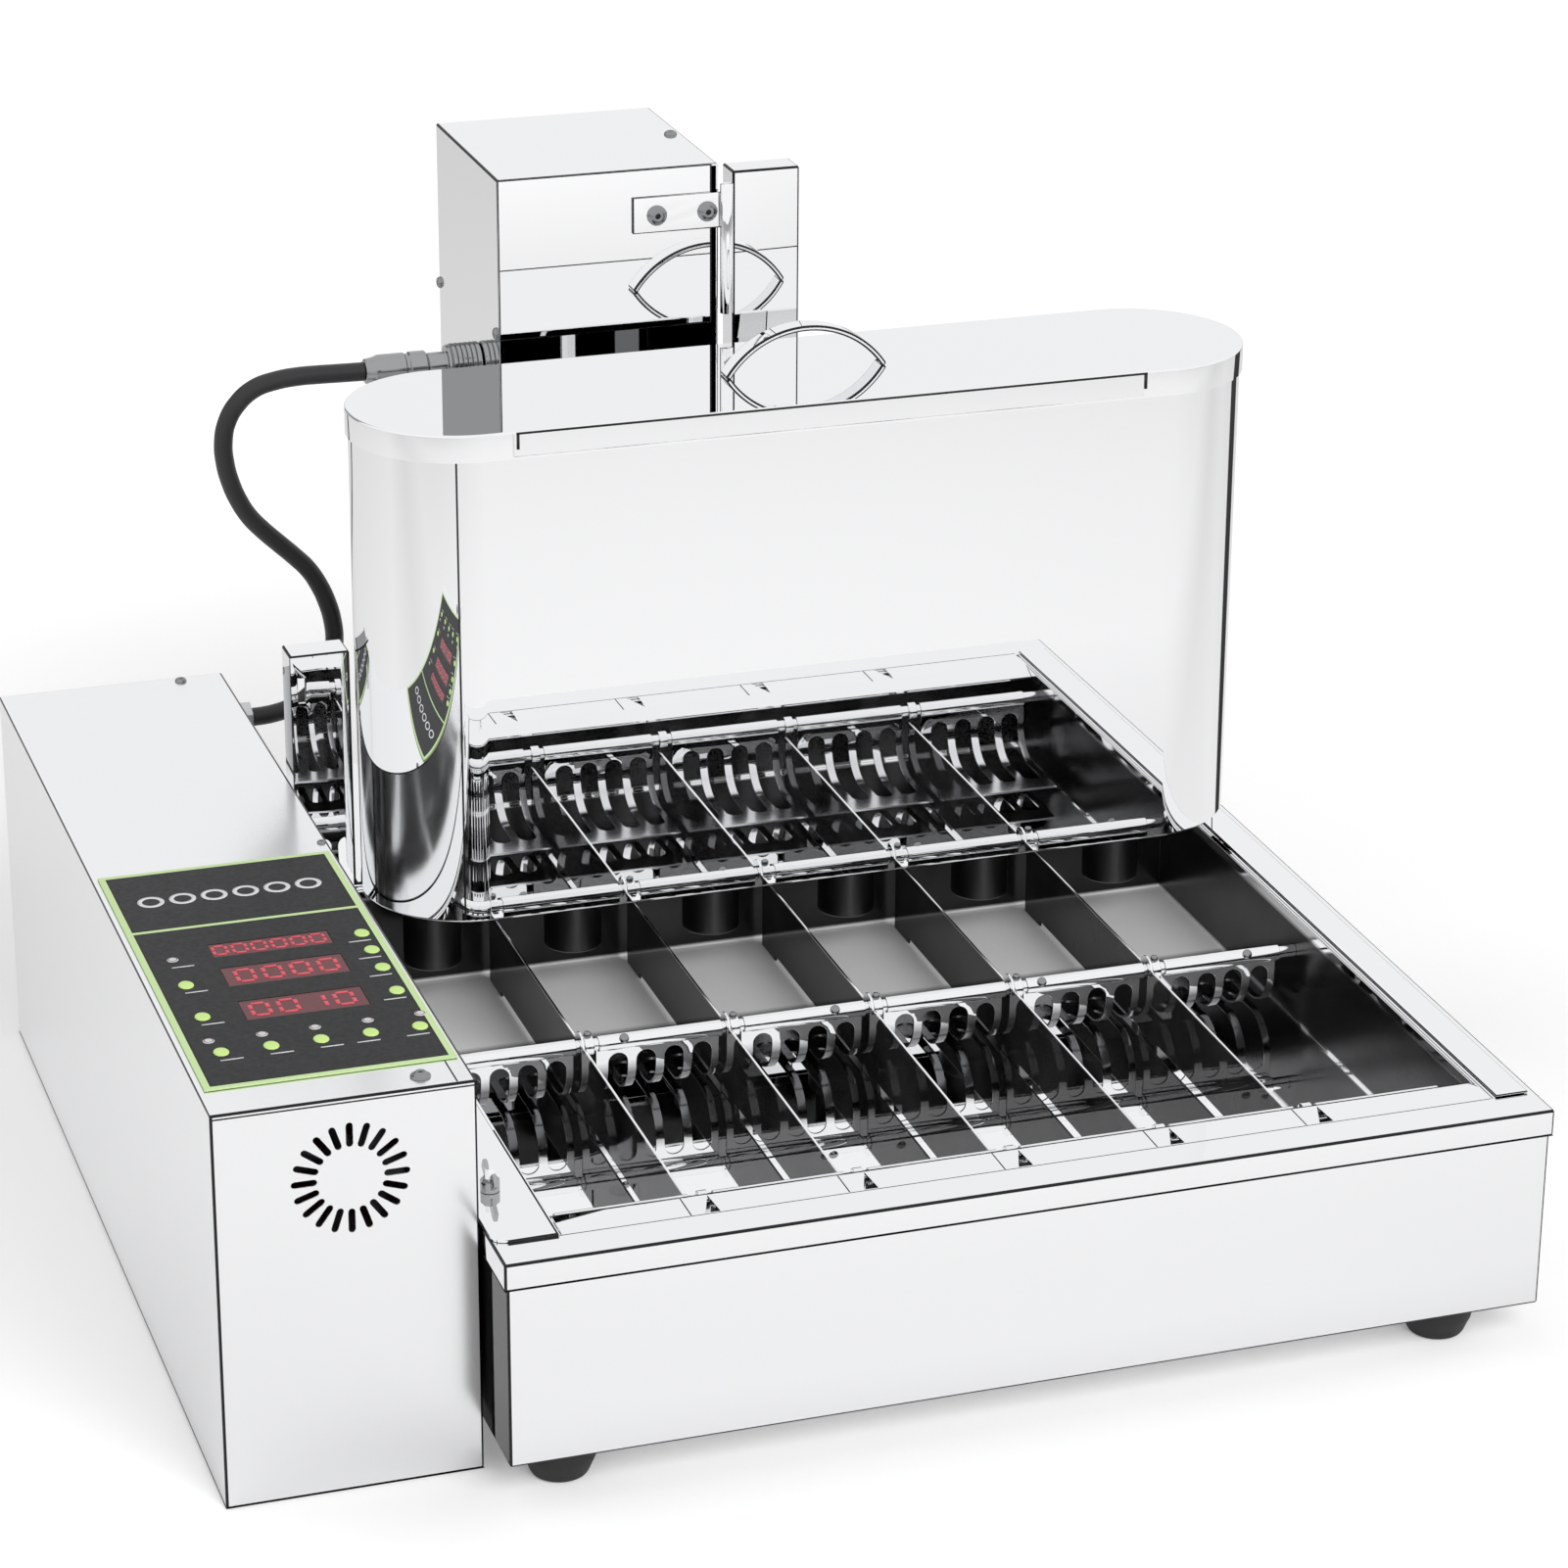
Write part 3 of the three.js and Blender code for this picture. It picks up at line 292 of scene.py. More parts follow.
# %% [markdown]
# The lane dividers and the fryer's left wall stand nearly edge on to the eye, and there even
# black metal shines. They are dark all the same, the left wall as painted shade and the dividers
# as a painted dark reflection, so they are made as a dull black body with little gloss, and only
# a divider's rim and the rest of the fryer's walls are steel. A shovel is bright at its top and
# painted darker lower down, a painted dark reflection, more on the rear row than on the front row.

# %% Fryer wall, divider and shovel finishes
PAINTED_SHADE_UP_TO = -257 * MM
DIVIDER_RIM = 140 * MM
PAINTED_DARK_BELOW = 112 * MM
LITTLE_GLOSS = 0.15


def fryer_wall_finish():
    finish = Finish("fryer_wall_steel", Specular_IOR_Level=LITTLE_GLOSS)
    # The fryer's left wall is painted shade: near black and not metal.
    open_side = finish.span(finish.axes()[0], PAINTED_SHADE_UP_TO, PAINTED_SHADE_UP_TO + 0.5 * MM)
    finish.drive("Metallic", open_side)
    finish.drive("Base Color", finish.mix(open_side, (0.012, 0.012, 0.012, 1), (*SHEET_COLOUR, 1)))
    wipe_marks(finish)
    return finish.material


def divider_finish():
    finish = Finish("divider_steel", Specular_IOR_Level=LITTLE_GLOSS)
    rim = finish.span(finish.axes()[2], DIVIDER_RIM, DIVIDER_RIM + 0.6 * MM)
    # The divider's body below its rim is a painted dark reflection, mottled at random.
    painted_dark_tone = finish.mottled(16.0, 3.0, (0.01, 0.0102, 0.0105), (0.05, 0.0505, 0.051))
    finish.drive("Metallic", rim)
    finish.drive("Base Color", finish.mix(rim, painted_dark_tone, (0.93, 0.935, 0.94, 1)))
    finish.drive("Roughness", finish.span(finish.noise(10.0, 3.0), 0.3, 0.8, 0.0, 0.03))
    finish.dent(finish.noise(6.0, 1.0), 0.02, SHEET_WAVE)
    return finish.material


def shovel_finish(name, low, high):
    finish = Finish(name, Metallic=1.0)
    # Below this height the shovel is painted darker, a painted dark reflection, paler on the front
    # row.
    upper = finish.span(finish.axes()[2], PAINTED_DARK_BELOW, PAINTED_DARK_BELOW + 10 * MM)
    painted_dark_tone = finish.mottled(16.0, 3.0, (low, low, low * 1.02), (high, high, high * 1.02))
    finish.drive("Base Color", finish.mix(upper, painted_dark_tone, (0.9, 0.905, 0.91, 1)))
    finish.drive("Roughness", finish.span(upper, 0.0, 1.0, 0.16, 0.0))
    finish.dent(finish.noise(6.0, 1.0), 0.015, SHEET_WAVE)
    return finish.material


fryer_wall_steel = fryer_wall_finish()
divider_steel = divider_finish()
shovel_steel = shovel_finish("shovel_steel", 0.12, 0.3)
front_shovel_steel = shovel_finish("front_shovel_steel", 0.7, 0.85)
print("fryer wall, divider and shovel finishes made")

# %% [markdown]
# Rubber, plastic and printing ink aren't metal, so their colour does the work and their gloss
# stays plain. Each gets a fine grain at its real scale, which a smooth surface would lack:
# moulded rubber has a soft bloom, and plastic keys are slightly pebbled.

# %% Rubber, plastic and ink finishes
def moulded(name, colour, rough, grain_scale, depth, speck):
    finish = Finish(name)
    grain = finish.noise(grain_scale, 3.0)
    lighter = tuple(min(1, channel * (1 + speck) + speck * 0.01) for channel in colour)
    finish.drive("Base Color", finish.mix(grain, (*colour, 1), (*lighter, 1)))
    finish.drive("Roughness", finish.span(grain, 0.3, 0.7, rough - 0.05, rough + 0.07))
    finish.dent(grain, 0.25, depth)
    return finish.material


rubber = moulded("black_rubber", (0.012, 0.012, 0.013), 0.42, 900.0, 0.1 * MM, 0.5)
foot_rubber = moulded("foot_rubber", (0.01, 0.01, 0.01), 0.6, 600.0, 0.1 * MM, 0.5)
key_green = moulded("key_green", (0.6, 0.83, 0.26), 0.4, 700.0, 0.05 * MM, 0.06)
fan_black = moulded("fan_black", (0.02, 0.02, 0.021), 0.45, 500.0, 0.1 * MM, 0.3)
lamp_grey = moulded("lamp_grey", (0.6, 0.6, 0.6), 0.3, 500.0, 0.05 * MM, 0.1)
print_white = moulded("print_white", (0.72, 0.73, 0.74), 0.5, 900.0, 0.02 * MM, 0.05)
line_black = moulded("line_black", (0.008, 0.008, 0.008), 0.6, 300.0, 0.02 * MM, 0.2)
print("plastic finishes made")

# %% [markdown]
# The control film is printed on one sheet: a charcoal field, a pale green border with a thin
# black line inside it, and a pale rule between the two fields. Strips of mesh could carry the
# border, but all of it follows from how far a point lies from the film's edges, so one material
# draws it.

# %% Control film
FILM_LOW, FILM_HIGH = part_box("control_panel")
BORDER, INNER_LINE = 4.2 * MM, 1.2 * MM
RULE_Y, RULE_HALF = -79 * MM, 1.7 * MM


def film_finish():
    finish = Finish("control_film", Specular_IOR_Level=0.22)
    x, y, _ = finish.axes()
    middle = (FILM_LOW + FILM_HIGH) / 2
    half = (FILM_HIGH - FILM_LOW) / 2
    inset = (half.x - x.away(middle.x)).smaller(half.y - y.away(middle.y))
    edge = (inset - BORDER).smaller(y.away(RULE_Y) - RULE_HALF)
    sand = finish.span(finish.noise(500.0, 2.0), 0.3, 0.7)
    field = finish.mix(sand, (0.013, 0.0135, 0.014, 1), (0.018, 0.0185, 0.02, 1))
    lined = finish.mix(edge < INNER_LINE, field, (0.006, 0.006, 0.006, 1))
    finish.drive("Base Color", finish.mix(edge < 0.0, lined, (0.6, 0.78, 0.4, 1)))
    finish.drive("Roughness", finish.span(finish.noise(300.0, 2.0), 0.3, 0.7, 0.42, 0.52))
    finish.dent(finish.noise(900.0, 2.0), 0.15, 0.05 * MM)
    return finish.material


control_film = film_finish()
print("control film made")

# %% [markdown]
# The displays are dark red windows with lit segments. A lamp behind each would be slow and
# noisy, so a lit segment is an emitter, kept at a level where it shows as red and not as white,
# and the window round it glows a little.

# %% Display finishes
def glow_finish(name, colour, strength):
    finish = Finish(name, Roughness=0.3, Emission_Strength=strength)
    flicker = finish.span(finish.noise(400.0, 2.0), 0.3, 0.7)
    dim = tuple(channel * 0.8 for channel in colour)
    for socket_name in ("Base Color", "Emission Color"):
        finish.drive(socket_name, finish.mix(flicker, (*dim, 1), (*colour, 1)))
    return finish.material


digit_red = glow_finish("digit_red", (0.5, 0.05, 0.075), 0.62)
window_red = glow_finish("window_red", (0.09, 0.01, 0.014), 0.4)
print("display finishes made")

# %% [markdown]
# Every new piece is linked, given one finish, smoothed, and set to ride on its body in one
# helper, so that no step is forgotten. Soften rounds its sharp edges with a Bevel, and weighted
# normals keep the large faces flat beside the round edges.

# %% Helpers for pieces
def at(x, y, z):
    return Vector(((x - 420) * MM, (y - 345) * MM, z * MM))


def body_of(name):
    return nodes[name]["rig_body"]


def mesh_of(work, name):
    mesh = bpy.data.meshes.new(name)
    work.to_mesh(mesh)
    work.free()
    return mesh


def new_piece(name, mesh, finish, body="frame", second=None):
    piece = bpy.data.objects.new(name, mesh)
    bpy.context.scene.collection.objects.link(piece)
    mesh.materials.clear()
    mesh.materials.append(finish)
    if second:
        mesh.materials.append(second)
    mesh.polygons.foreach_set("use_smooth", [True] * len(mesh.polygons))
    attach(piece, body)
    return piece


def soften(piece, width, segments=2, angle=35.0):
    bevel = piece.modifiers.new("Bevel", "BEVEL")
    bevel.width = width
    bevel.segments = segments
    bevel.limit_method = "ANGLE"
    bevel.angle_limit = math.radians(angle)
    bevel.profile = 0.5
    piece.modifiers.new("Weighted normal", "WEIGHTED_NORMAL").keep_sharp = True
    return bevel


def thicken(piece, thickness, offset=-1):
    wall = piece.modifiers.new("Wall", "SOLIDIFY")
    wall.thickness = thickness * MM
    wall.offset = offset


def clothe(name, finish):
    nodes[name].data.materials.clear()
    nodes[name].data.materials.append(finish)


print("piece helpers ready")

# %% [markdown]
# Bent sheet has small round edges, and those edges tell the eye that a box is folded steel. A
# solid's mesh is loose triangles, so its copy is welded, its flat faces are joined again, and a
# Bevel rounds what is left. On large polished boxes each long fold shows as a fine dark line,
# because the bend mirrors the dark room behind the camera. The room here is pale, so those folds
# are weighed, made wider and given a dark steel of their own, a painted dark reflection. A narrow
# rim gets only what it has room for.

# %% Folded sheets
SHARP_TURN = math.radians(35)
SHORTEST_FOLD = 9 * MM
NARROW_RIM = 2 * MM
ROOM_SHARE = 0.42


def welded_copy(name):
    work = bmesh.new()
    work.from_mesh(nodes[name].data)
    bmesh.ops.remove_doubles(work, verts=work.verts, dist=1e-6)
    bmesh.ops.dissolve_limit(
        work, angle_limit=math.radians(1), verts=work.verts, edges=work.edges,
    )
    return work


def room_beside(edge):
    start = edge.verts[0].co
    along = (edge.verts[1].co - start).normalized()
    depths = []
    for face in edge.link_faces:
        offsets = [vert.co - start for vert in face.verts]
        depths.append(max((offset - along * offset.dot(along)).length for offset in offsets))
    return min(depths)


def weigh_folds(work, width, rims):
    weight = work.edges.layers.float.new("bevel_weight_edge")
    for edge in work.edges:
        bent = len(edge.link_faces) == 2 and edge.calc_face_angle(0) > SHARP_TURN
        if bent and edge.calc_length() > SHORTEST_FOLD:
            room = room_beside(edge)
            wanted = min(1.0, room * ROOM_SHARE / width)
            edge[weight] = wanted if rims or room > NARROW_RIM else 0.0


def folded(name, finish, width=0.5 * MM, segments=2, dark_fold=None, rims=True):
    work = welded_copy(name)
    if dark_fold:
        weigh_folds(work, width, rims)
    mesh = mesh_of(work, name + "_sheet")
    piece = new_piece(name + "_sheet", mesh, finish, body_of(name), dark_fold)
    bevel = soften(piece, width, segments)
    if dark_fold:
        bevel.material = 1
        bevel.limit_method = "WEIGHT"
        bevel.use_clamp_overlap = False
    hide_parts(name)


print("fold helpers ready")

# %% [markdown]
# The air hose is a stiff rubber pipe held at both ends. It leaves the fitting level, drops behind
# the left post and goes level into the gland of the control box. Its route is the same as its
# solid's: two level leads, and between them points given by their share of the way across and of
# the way up. The solid runs through them as a centripetal spline. Each stretch of such a spline is
# a cubic, so its handles follow from the neighbouring points, and Blender can walk along it.

# %% Hose route
HOSE_TOP, HOSE_BOTTOM = at(251.4, 629, 498), at(170.6, 662, 240)
LEAD_TOP, LEAD_BOTTOM = Vector((55.4 * MM, 0, 0)), Vector((8.4 * MM, 0, 0))
HOSE_SHARES = [
    (0.048, 0.978), (-0.147, 0.917), (-0.218, 0.833), (-0.161, 0.714), (0.005, 0.606),
    (0.265, 0.517), (0.525, 0.429), (0.691, 0.32), (0.748, 0.202), (0.661, 0.101), (0.426, 0.027),
]
STRETCH_STEPS = 60


def hose_route():
    rise = HOSE_TOP - HOSE_BOTTOM
    route = [HOSE_TOP, HOSE_TOP - LEAD_TOP]
    for across, upward in HOSE_SHARES:
        share = Vector((rise.x * across, rise.y * upward, rise.z * upward))
        route.append(HOSE_BOTTOM + share)
    return route + [HOSE_BOTTOM + LEAD_BOTTOM, HOSE_BOTTOM]


def handle_arms(before, here, after):
    step_in = math.sqrt((here - before).length)
    step_out = math.sqrt((after - here).length)
    slope = (here - before) / step_in + (after - here) / step_out
    slope -= (after - before) / (step_in + step_out)
    return slope * step_in / 3, slope * step_out / 3


def smooth_line(route):
    padded = [2 * route[0] - route[1]] + route + [2 * route[-1] - route[-2]]
    arms = [handle_arms(*three) for three in zip(padded, padded[1:], padded[2:])]
    smooth = [route[0]]
    for here, there, (_, leaving), (arriving, _) in zip(route, route[1:], arms, arms[1:]):
        corners = (here, here + leaving, there - arriving, there)
        smooth += interpolate_bezier(*corners, STRETCH_STEPS)[1:]
    return smooth


hose_line = smooth_line(hose_route())
print("hose route points", len(HOSE_SHARES) + 4, "line points", len(hose_line))

# %% [markdown]
# A spun tube would need joints at each bend, so the pipe is a Bezier curve with a round section.
# Its knots are set at even steps along the route's line, to a tenth of a millimetre, because then
# its automatic handles come out alike and its rings lie evenly.

# %% Air hose
HOSE_KNOTS = 27
TENTH_OF_MM = 4
HOSE_RADIUS = 6.5 * MM


def evenly_spaced(points, count):
    pairs = list(zip(points, points[1:]))
    step = sum((b - a).length for a, b in pairs) / (count - 1)
    spaced = [points[0]]
    gone = 0.0
    for a, b in pairs:
        reach = (b - a).length
        while len(spaced) < count - 1 and len(spaced) * step <= gone + reach:
            spaced.append(a.lerp(b, (len(spaced) * step - gone) / reach))
        gone += reach
    return spaced + [points[-1]]


knot_places = [
    tuple(round(value, TENTH_OF_MM) for value in place)
    for place in evenly_spaced(hose_line, HOSE_KNOTS)
]
hose_curve = bpy.data.curves.new("air_hose_pipe", "CURVE")
hose_curve.dimensions = "3D"
hose_curve.bevel_depth = HOSE_RADIUS
hose_curve.bevel_resolution = 6
hose_curve.use_fill_caps = True
hose_curve.resolution_u = 6
line = hose_curve.splines.new("BEZIER")
line.bezier_points.add(HOSE_KNOTS - 1)
for knot, place in zip(line.bezier_points, knot_places):
    knot.co = place
    knot.handle_left_type = "AUTO"
    knot.handle_right_type = "AUTO"
hose = bpy.data.objects.new("air_hose_pipe", hose_curve)
hose_curve.materials.append(rubber)
bpy.context.scene.collection.objects.link(hose)
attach(hose, "frame")
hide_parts("air_hose")
print("hose knots", HOSE_KNOTS)

# %% [markdown]
# The hopper is a long tub with round ends. A stretched cylinder would spoil the ends, so one
# circle of many sides is pulled apart into two half circles, its edge is drawn up into a wall,
# and a Solidify gives the sheet its thickness. The solid has facets that a mirror would show at
# once. The folded edge at the floor gets the dark fold steel, a painted dark reflection.

# %% Round-ended shells
ROUND_END, END_SIDES = 72, 144
HOPPER_LEFT, HOPPER_RIGHT = 203, 828
HOPPER_MIDDLE_Y = 393.7 + ROUND_END
HOPPER_FLOOR, HOPPER_TOP = 181, 521.7
SHEET = 1.5


def round_ended_loop(work, grow, z):
    radius = (ROUND_END + grow) * MM
    made = bmesh.ops.create_circle(work, segments=END_SIDES, radius=radius, cap_ends=True)
    verts = made["verts"]
    bmesh.ops.rotate(work, verts=verts, matrix=Matrix.Rotation(math.pi / END_SIDES, 3, "Z"))
    for side, x in ((-1, HOPPER_LEFT + ROUND_END), (1, HOPPER_RIGHT - ROUND_END)):
        half_circle = [vert for vert in verts if vert.co.x * side > 0]
        bmesh.ops.translate(work, verts=half_circle, vec=at(x, HOPPER_MIDDLE_Y, z))
    return verts


def drawn_up(work, verts, tall):
    faces = list({face for vert in verts for face in vert.link_faces})
    out = bmesh.ops.extrude_face_region(work, geom=faces)
    top = [item for item in out["geom"] if isinstance(item, bmesh.types.BMVert)]
    bmesh.ops.translate(work, verts=top, vec=(0, 0, tall * MM))


def round_ended_shell(name, body, grow, low, high, closed_at, edge_round, thickness):
    work = bmesh.new()
    drawn_up(work, round_ended_loop(work, grow, low), high - low)
    closed_z = closed_at * MM
    open_end = max(work.faces, key=lambda face: abs(face.calc_center_median().z - closed_z))
    bmesh.ops.delete(work, geom=[open_end], context="FACES_ONLY")
    closed_edges = [
        edge for edge in work.edges if all(abs(v.co.z - closed_z) < 1 * MM for v in edge.verts)
    ]
    bmesh.ops.bevel(
        work, geom=closed_edges, offset=edge_round * MM, segments=3, profile=0.5, affect="EDGES",
        material=1,
    )
    bmesh.ops.recalc_face_normals(work, faces=work.faces)
    piece = new_piece(name, mesh_of(work, name), mirror, body, painted_fold_reflection)
    thicken(piece, thickness)
    piece.modifiers.new("Weighted normal", "WEIGHTED_NORMAL")
    return piece


hopper_tub = round_ended_shell(
    "hopper_tub", "frame", 0, HOPPER_FLOOR, HOPPER_TOP, HOPPER_FLOOR, 2, SHEET,
)
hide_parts("hopper_body")
print("hopper tub faces", len(hopper_tub.data.polygons))

# %% [markdown]
# Six nozzles hang under the tub, one over each lane. A nozzle is a turned tube: its half outline
# is spun once round, with a collar where it meets the floor and a rounded lip at its mouth.
# Stacked cylinders would leave hard steps where a lathe leaves none.

# %% Nozzles
LANE_LEFT, LANE_PITCH, LANES = 200, 100, 6
NOZZLE_OUTLINE = [
    (15, 182), (15, 126), (15.6, 125), (19.2, 125), (20, 126), (20, 172), (20.5, 173), (25, 173),
    (25.6, 174), (25.6, 180.6), (25, 182), (15, 182),
]


def spun(outline, steps=48):
    work = bmesh.new()
    verts = [work.verts.new((r * MM, 0, z * MM)) for r, z in outline]
    edges = [work.edges.new(pair) for pair in zip(verts, verts[1:])]
    bmesh.ops.spin(
        work, geom=verts + edges, cent=(0, 0, 0), axis=(0, 0, 1), angle=math.tau, steps=steps,
        use_merge=True,
    )
    bmesh.ops.remove_doubles(work, verts=work.verts, dist=1e-6)
    bmesh.ops.recalc_face_normals(work, faces=work.faces)
    return work


def moved(work, place, turn=None):
    if turn:
        bmesh.ops.rotate(work, verts=work.verts, matrix=turn)
    bmesh.ops.translate(work, verts=work.verts, vec=at(*place))
    return work


def joined(works, name):
    whole = bmesh.new()
    for work in works:
        part = mesh_of(work, "part_of_" + name)
        whole.from_mesh(part)
        bpy.data.meshes.remove(part)
    return mesh_of(whole, name)


def gathered(name, works, finish, body="frame"):
    return new_piece(name, joined(works, name), finish, body)


lane_middles = [LANE_LEFT + (lane + 0.5) * LANE_PITCH for lane in range(LANES)]
turned = [moved(spun(NOZZLE_OUTLINE), (x, HOPPER_MIDDLE_Y, 0)) for x in lane_middles]
# The nozzles wear the darkened steel, painted shade of the space under the tub.
soften(gathered("hopper_nozzles", turned, painted_shade_nozzle_steel), 0.3 * MM)
print("nozzles", LANES)

# %% [markdown]
# The lid is a shallow cap over the tub. It is made by the tub's own helper, closed at the top
# where the tub is closed at the floor, so that the two fit each other all round. A separate
# folded lip stands proud along its front, and three thin black strips paint dark lines along the
# lip's fold and at its two ends, in place of the dark reflection a bent edge shows.

# %% Lid
LID_FLOOR, LID_TOP = 505, 523.5
LIP_FRONT = (390.1, 390.6)


def slab(x, y, z):
    work = bmesh.new()
    bmesh.ops.create_cube(work, size=1)
    low, high = at(x[0], y[0], z[0]), at(x[1], y[1], z[1])
    bmesh.ops.scale(work, verts=work.verts, vec=high - low)
    bmesh.ops.translate(work, verts=work.verts, vec=(low + high) / 2)
    return work


lid_cap = round_ended_shell(
    "hopper_lid_cap", "hopper_lid_body", 0.3 + SHEET, LID_FLOOR, LID_TOP, LID_TOP, 1.6, 1.4,
)
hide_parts("hopper_lid")
lip_sheet = slab((293, 732), (390.3, 392.1), (506.8, 522.9))
lip = gathered("hopper_lid_lip", [lip_sheet], mirror, "hopper_lid_body")
soften(lip, 0.7 * MM, 3)
# Black strips painted along the lip's fold and ends: painted dark reflection of the edges.
painted_lip_lines = [
    slab((295, 734), LIP_FRONT, (522.0, 523.4)),
    slab((295, 297), LIP_FRONT, (512, 522.5)),
    slab((732, 734), LIP_FRONT, (512, 522.5)),
]
gathered("lid_painted_fold_line", painted_lip_lines, line_black, "hopper_lid_body")
print("lid made, faces", len(lid_cap.data.polygons))

# %% [markdown]
# The lid's handle is a flat strap bent into an arch. A bent plane would thin out at its ends, so
# one cross section is spun a part of a turn about the arc's centre, and the strap has the same
# section all along.

# %% Handle
HANDLE_MIDDLE_X = 515.5
HANDLE_SPAN, HANDLE_RISE, HANDLE_THICK, HANDLE_WIDE = 115, 32, 3.8, 15
HANDLE_BASE = LID_TOP + 0.3
ARCH_SHARE = 0.985


def handle_section():
    work = slab(
        (HANDLE_MIDDLE_X - 0.01, HANDLE_MIDDLE_X + 0.01),
        (HOPPER_MIDDLE_Y - HANDLE_WIDE / 2, HOPPER_MIDDLE_Y + HANDLE_WIDE / 2),
        (HANDLE_BASE + HANDLE_RISE - HANDLE_THICK, HANDLE_BASE + HANDLE_RISE),
    )
    side = [face for face in work.faces if abs(face.normal.x) > 0.9]
    bmesh.ops.delete(work, geom=side[1:], context="FACES_ONLY")
    keep = list(side[0].verts)
    bmesh.ops.delete(work, geom=[v for v in work.verts if v not in keep], context="VERTS")
    return work


def handle_strap():
    radius = ((HANDLE_SPAN / 2) ** 2 + HANDLE_RISE ** 2) / (2 * HANDLE_RISE)
    centre = at(HANDLE_MIDDLE_X, HOPPER_MIDDLE_Y, HANDLE_BASE + HANDLE_RISE - radius)
    reach = math.acos((radius - HANDLE_RISE) / radius) * ARCH_SHARE
    work = handle_section()
    bmesh.ops.rotate(
        work, verts=work.verts, cent=centre, matrix=Matrix.Rotation(-reach, 3, "Y"),
    )
    bmesh.ops.spin(
        work, geom=list(work.faces) + list(work.edges) + list(work.verts), cent=centre,
        axis=(0, 1, 0), angle=2 * reach, steps=56, use_merge=False,
    )
    bmesh.ops.remove_doubles(work, verts=work.verts, dist=1e-6)
    bmesh.ops.recalc_face_normals(work, faces=work.faces)
    return mesh_of(work, "lid_handle_strap")


strap = new_piece("lid_handle_strap", handle_strap(), mirror, "hopper_lid_body", painted_fold_reflection)
# The strap's round edges get the dark fold steel, a painted dark reflection.
soften(strap, 1.3 * MM, 3).material = 1
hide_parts("lid_handle")
print("handle made, faces", len(strap.data.polygons))

# %% [markdown]
# The slotted shovel is the hardest form of the machine. On the real one a flat blank is slotted
# first and then rolled. Cutting slots out of a curved sheet would tear its edges, so the same
# order is kept here: the flat outline with its four slots is filled, cut across where it will
# bend, and only then rolled round the bend by moving its rows of points.

# %% Shovel blank
SHOVEL_INSET, SHOVEL_WIDE, SHOVEL_THICK = 12, 84.5, 1.5
WALL_Y, WALL_TOP, DROP, BEND, REACH = 4, 3.5, 45, 27, 77
SLOTS, SLOT_WIDE, SLOT_PITCH, SLOT_FIRST = 4, 13.4, 19.3, 15
SLOT_TOP, END_STRIP = 10, 18
BEND_CUTS, SLOT_END_STEPS = 16, 12
STRAIGHT = DROP - BEND - WALL_TOP
ROLLED = math.pi / 2 * BEND
FLAT = REACH - WALL_Y - BEND
BLANK = STRAIGHT + ROLLED + FLAT


def edge_ring(work, points):
    verts = [work.verts.new((x * MM, s * MM, 0)) for x, s in points]
    return [work.edges.new((a, b)) for a, b in zip(verts, verts[1:] + verts[:1])]


def slot_ring(x, start, end):
    radius = SLOT_WIDE / 2
    ring = []
    for centre, base in ((start + radius, math.pi), (end - radius, 0)):
        for step in range(SLOT_END_STEPS + 1):
            turn = base + math.pi * step / SLOT_END_STEPS
            ring.append((x + radius * math.cos(turn), centre + radius * math.sin(turn)))
    return ring


def slotted_blank():
    work = bmesh.new()
    edges = edge_ring(work, [(0, 0), (SHOVEL_WIDE, 0), (SHOVEL_WIDE, BLANK), (0, BLANK)])
    for slot in range(SLOTS):
        x = SLOT_FIRST + slot * SLOT_PITCH
        edges += edge_ring(work, slot_ring(x, SLOT_TOP - WALL_TOP, BLANK - END_STRIP))
    bmesh.ops.triangle_fill(work, use_beauty=True, use_dissolve=False, edges=edges)
    for cut in range(BEND_CUTS + 1):
        s = STRAIGHT + ROLLED * cut / BEND_CUTS
        geom = list(work.verts) + list(work.edges) + list(work.faces)
        bmesh.ops.bisect_plane(work, geom=geom, plane_co=(0, s * MM, 0), plane_no=(0, 1, 0))
    return work


def roll_blank(work):
    for vert in work.verts:
        s = vert.co.y / MM
        if s <= STRAIGHT:
            y, z = WALL_Y, -WALL_TOP - s
        elif s <= STRAIGHT + ROLLED:
            turn = (s - STRAIGHT) / BEND
            y = WALL_Y + BEND - BEND * math.cos(turn)
            z = BEND - DROP - BEND * math.sin(turn)
        else:
            y, z = WALL_Y + BEND + s - STRAIGHT - ROLLED, -DROP
        vert.co = (vert.co.x, y * MM, z * MM)


blank = slotted_blank()
roll_blank(blank)
print("blank faces", len(blank.faces), "length", round(BLANK, 1))

# %% [markdown]
# The rolled blank gets its thickness and small round edges once, and the spun sleeve joins it.
# The finished mesh is then set down twelve times, six on each shaft, which is quicker than
# shaping each and keeps them all alike.

# %% Shovels
SHAFTS = {"rear": (275, 138), "front": (25, 146)}
SHOVEL_FINISHES = {"rear": shovel_steel, "front": front_shovel_steel}


def settled(piece):
    graph = bpy.context.evaluated_depsgraph_get()
    mesh = bpy.data.meshes.new_from_object(piece.evaluated_get(graph))
    bpy.data.objects.remove(piece)
    return mesh


def thick_blank(work):
    piece = new_piece("blank", mesh_of(work, "blank"), shovel_steel, "rear_shovels")
    thicken(piece, SHOVEL_THICK, 0)
    bevel = piece.modifiers.new("Bevel", "BEVEL")
    bevel.width = 0.35 * MM
    bevel.segments = 2
    bevel.limit_method = "ANGLE"
    bevel.angle_limit = math.radians(50)
    return settled(piece)


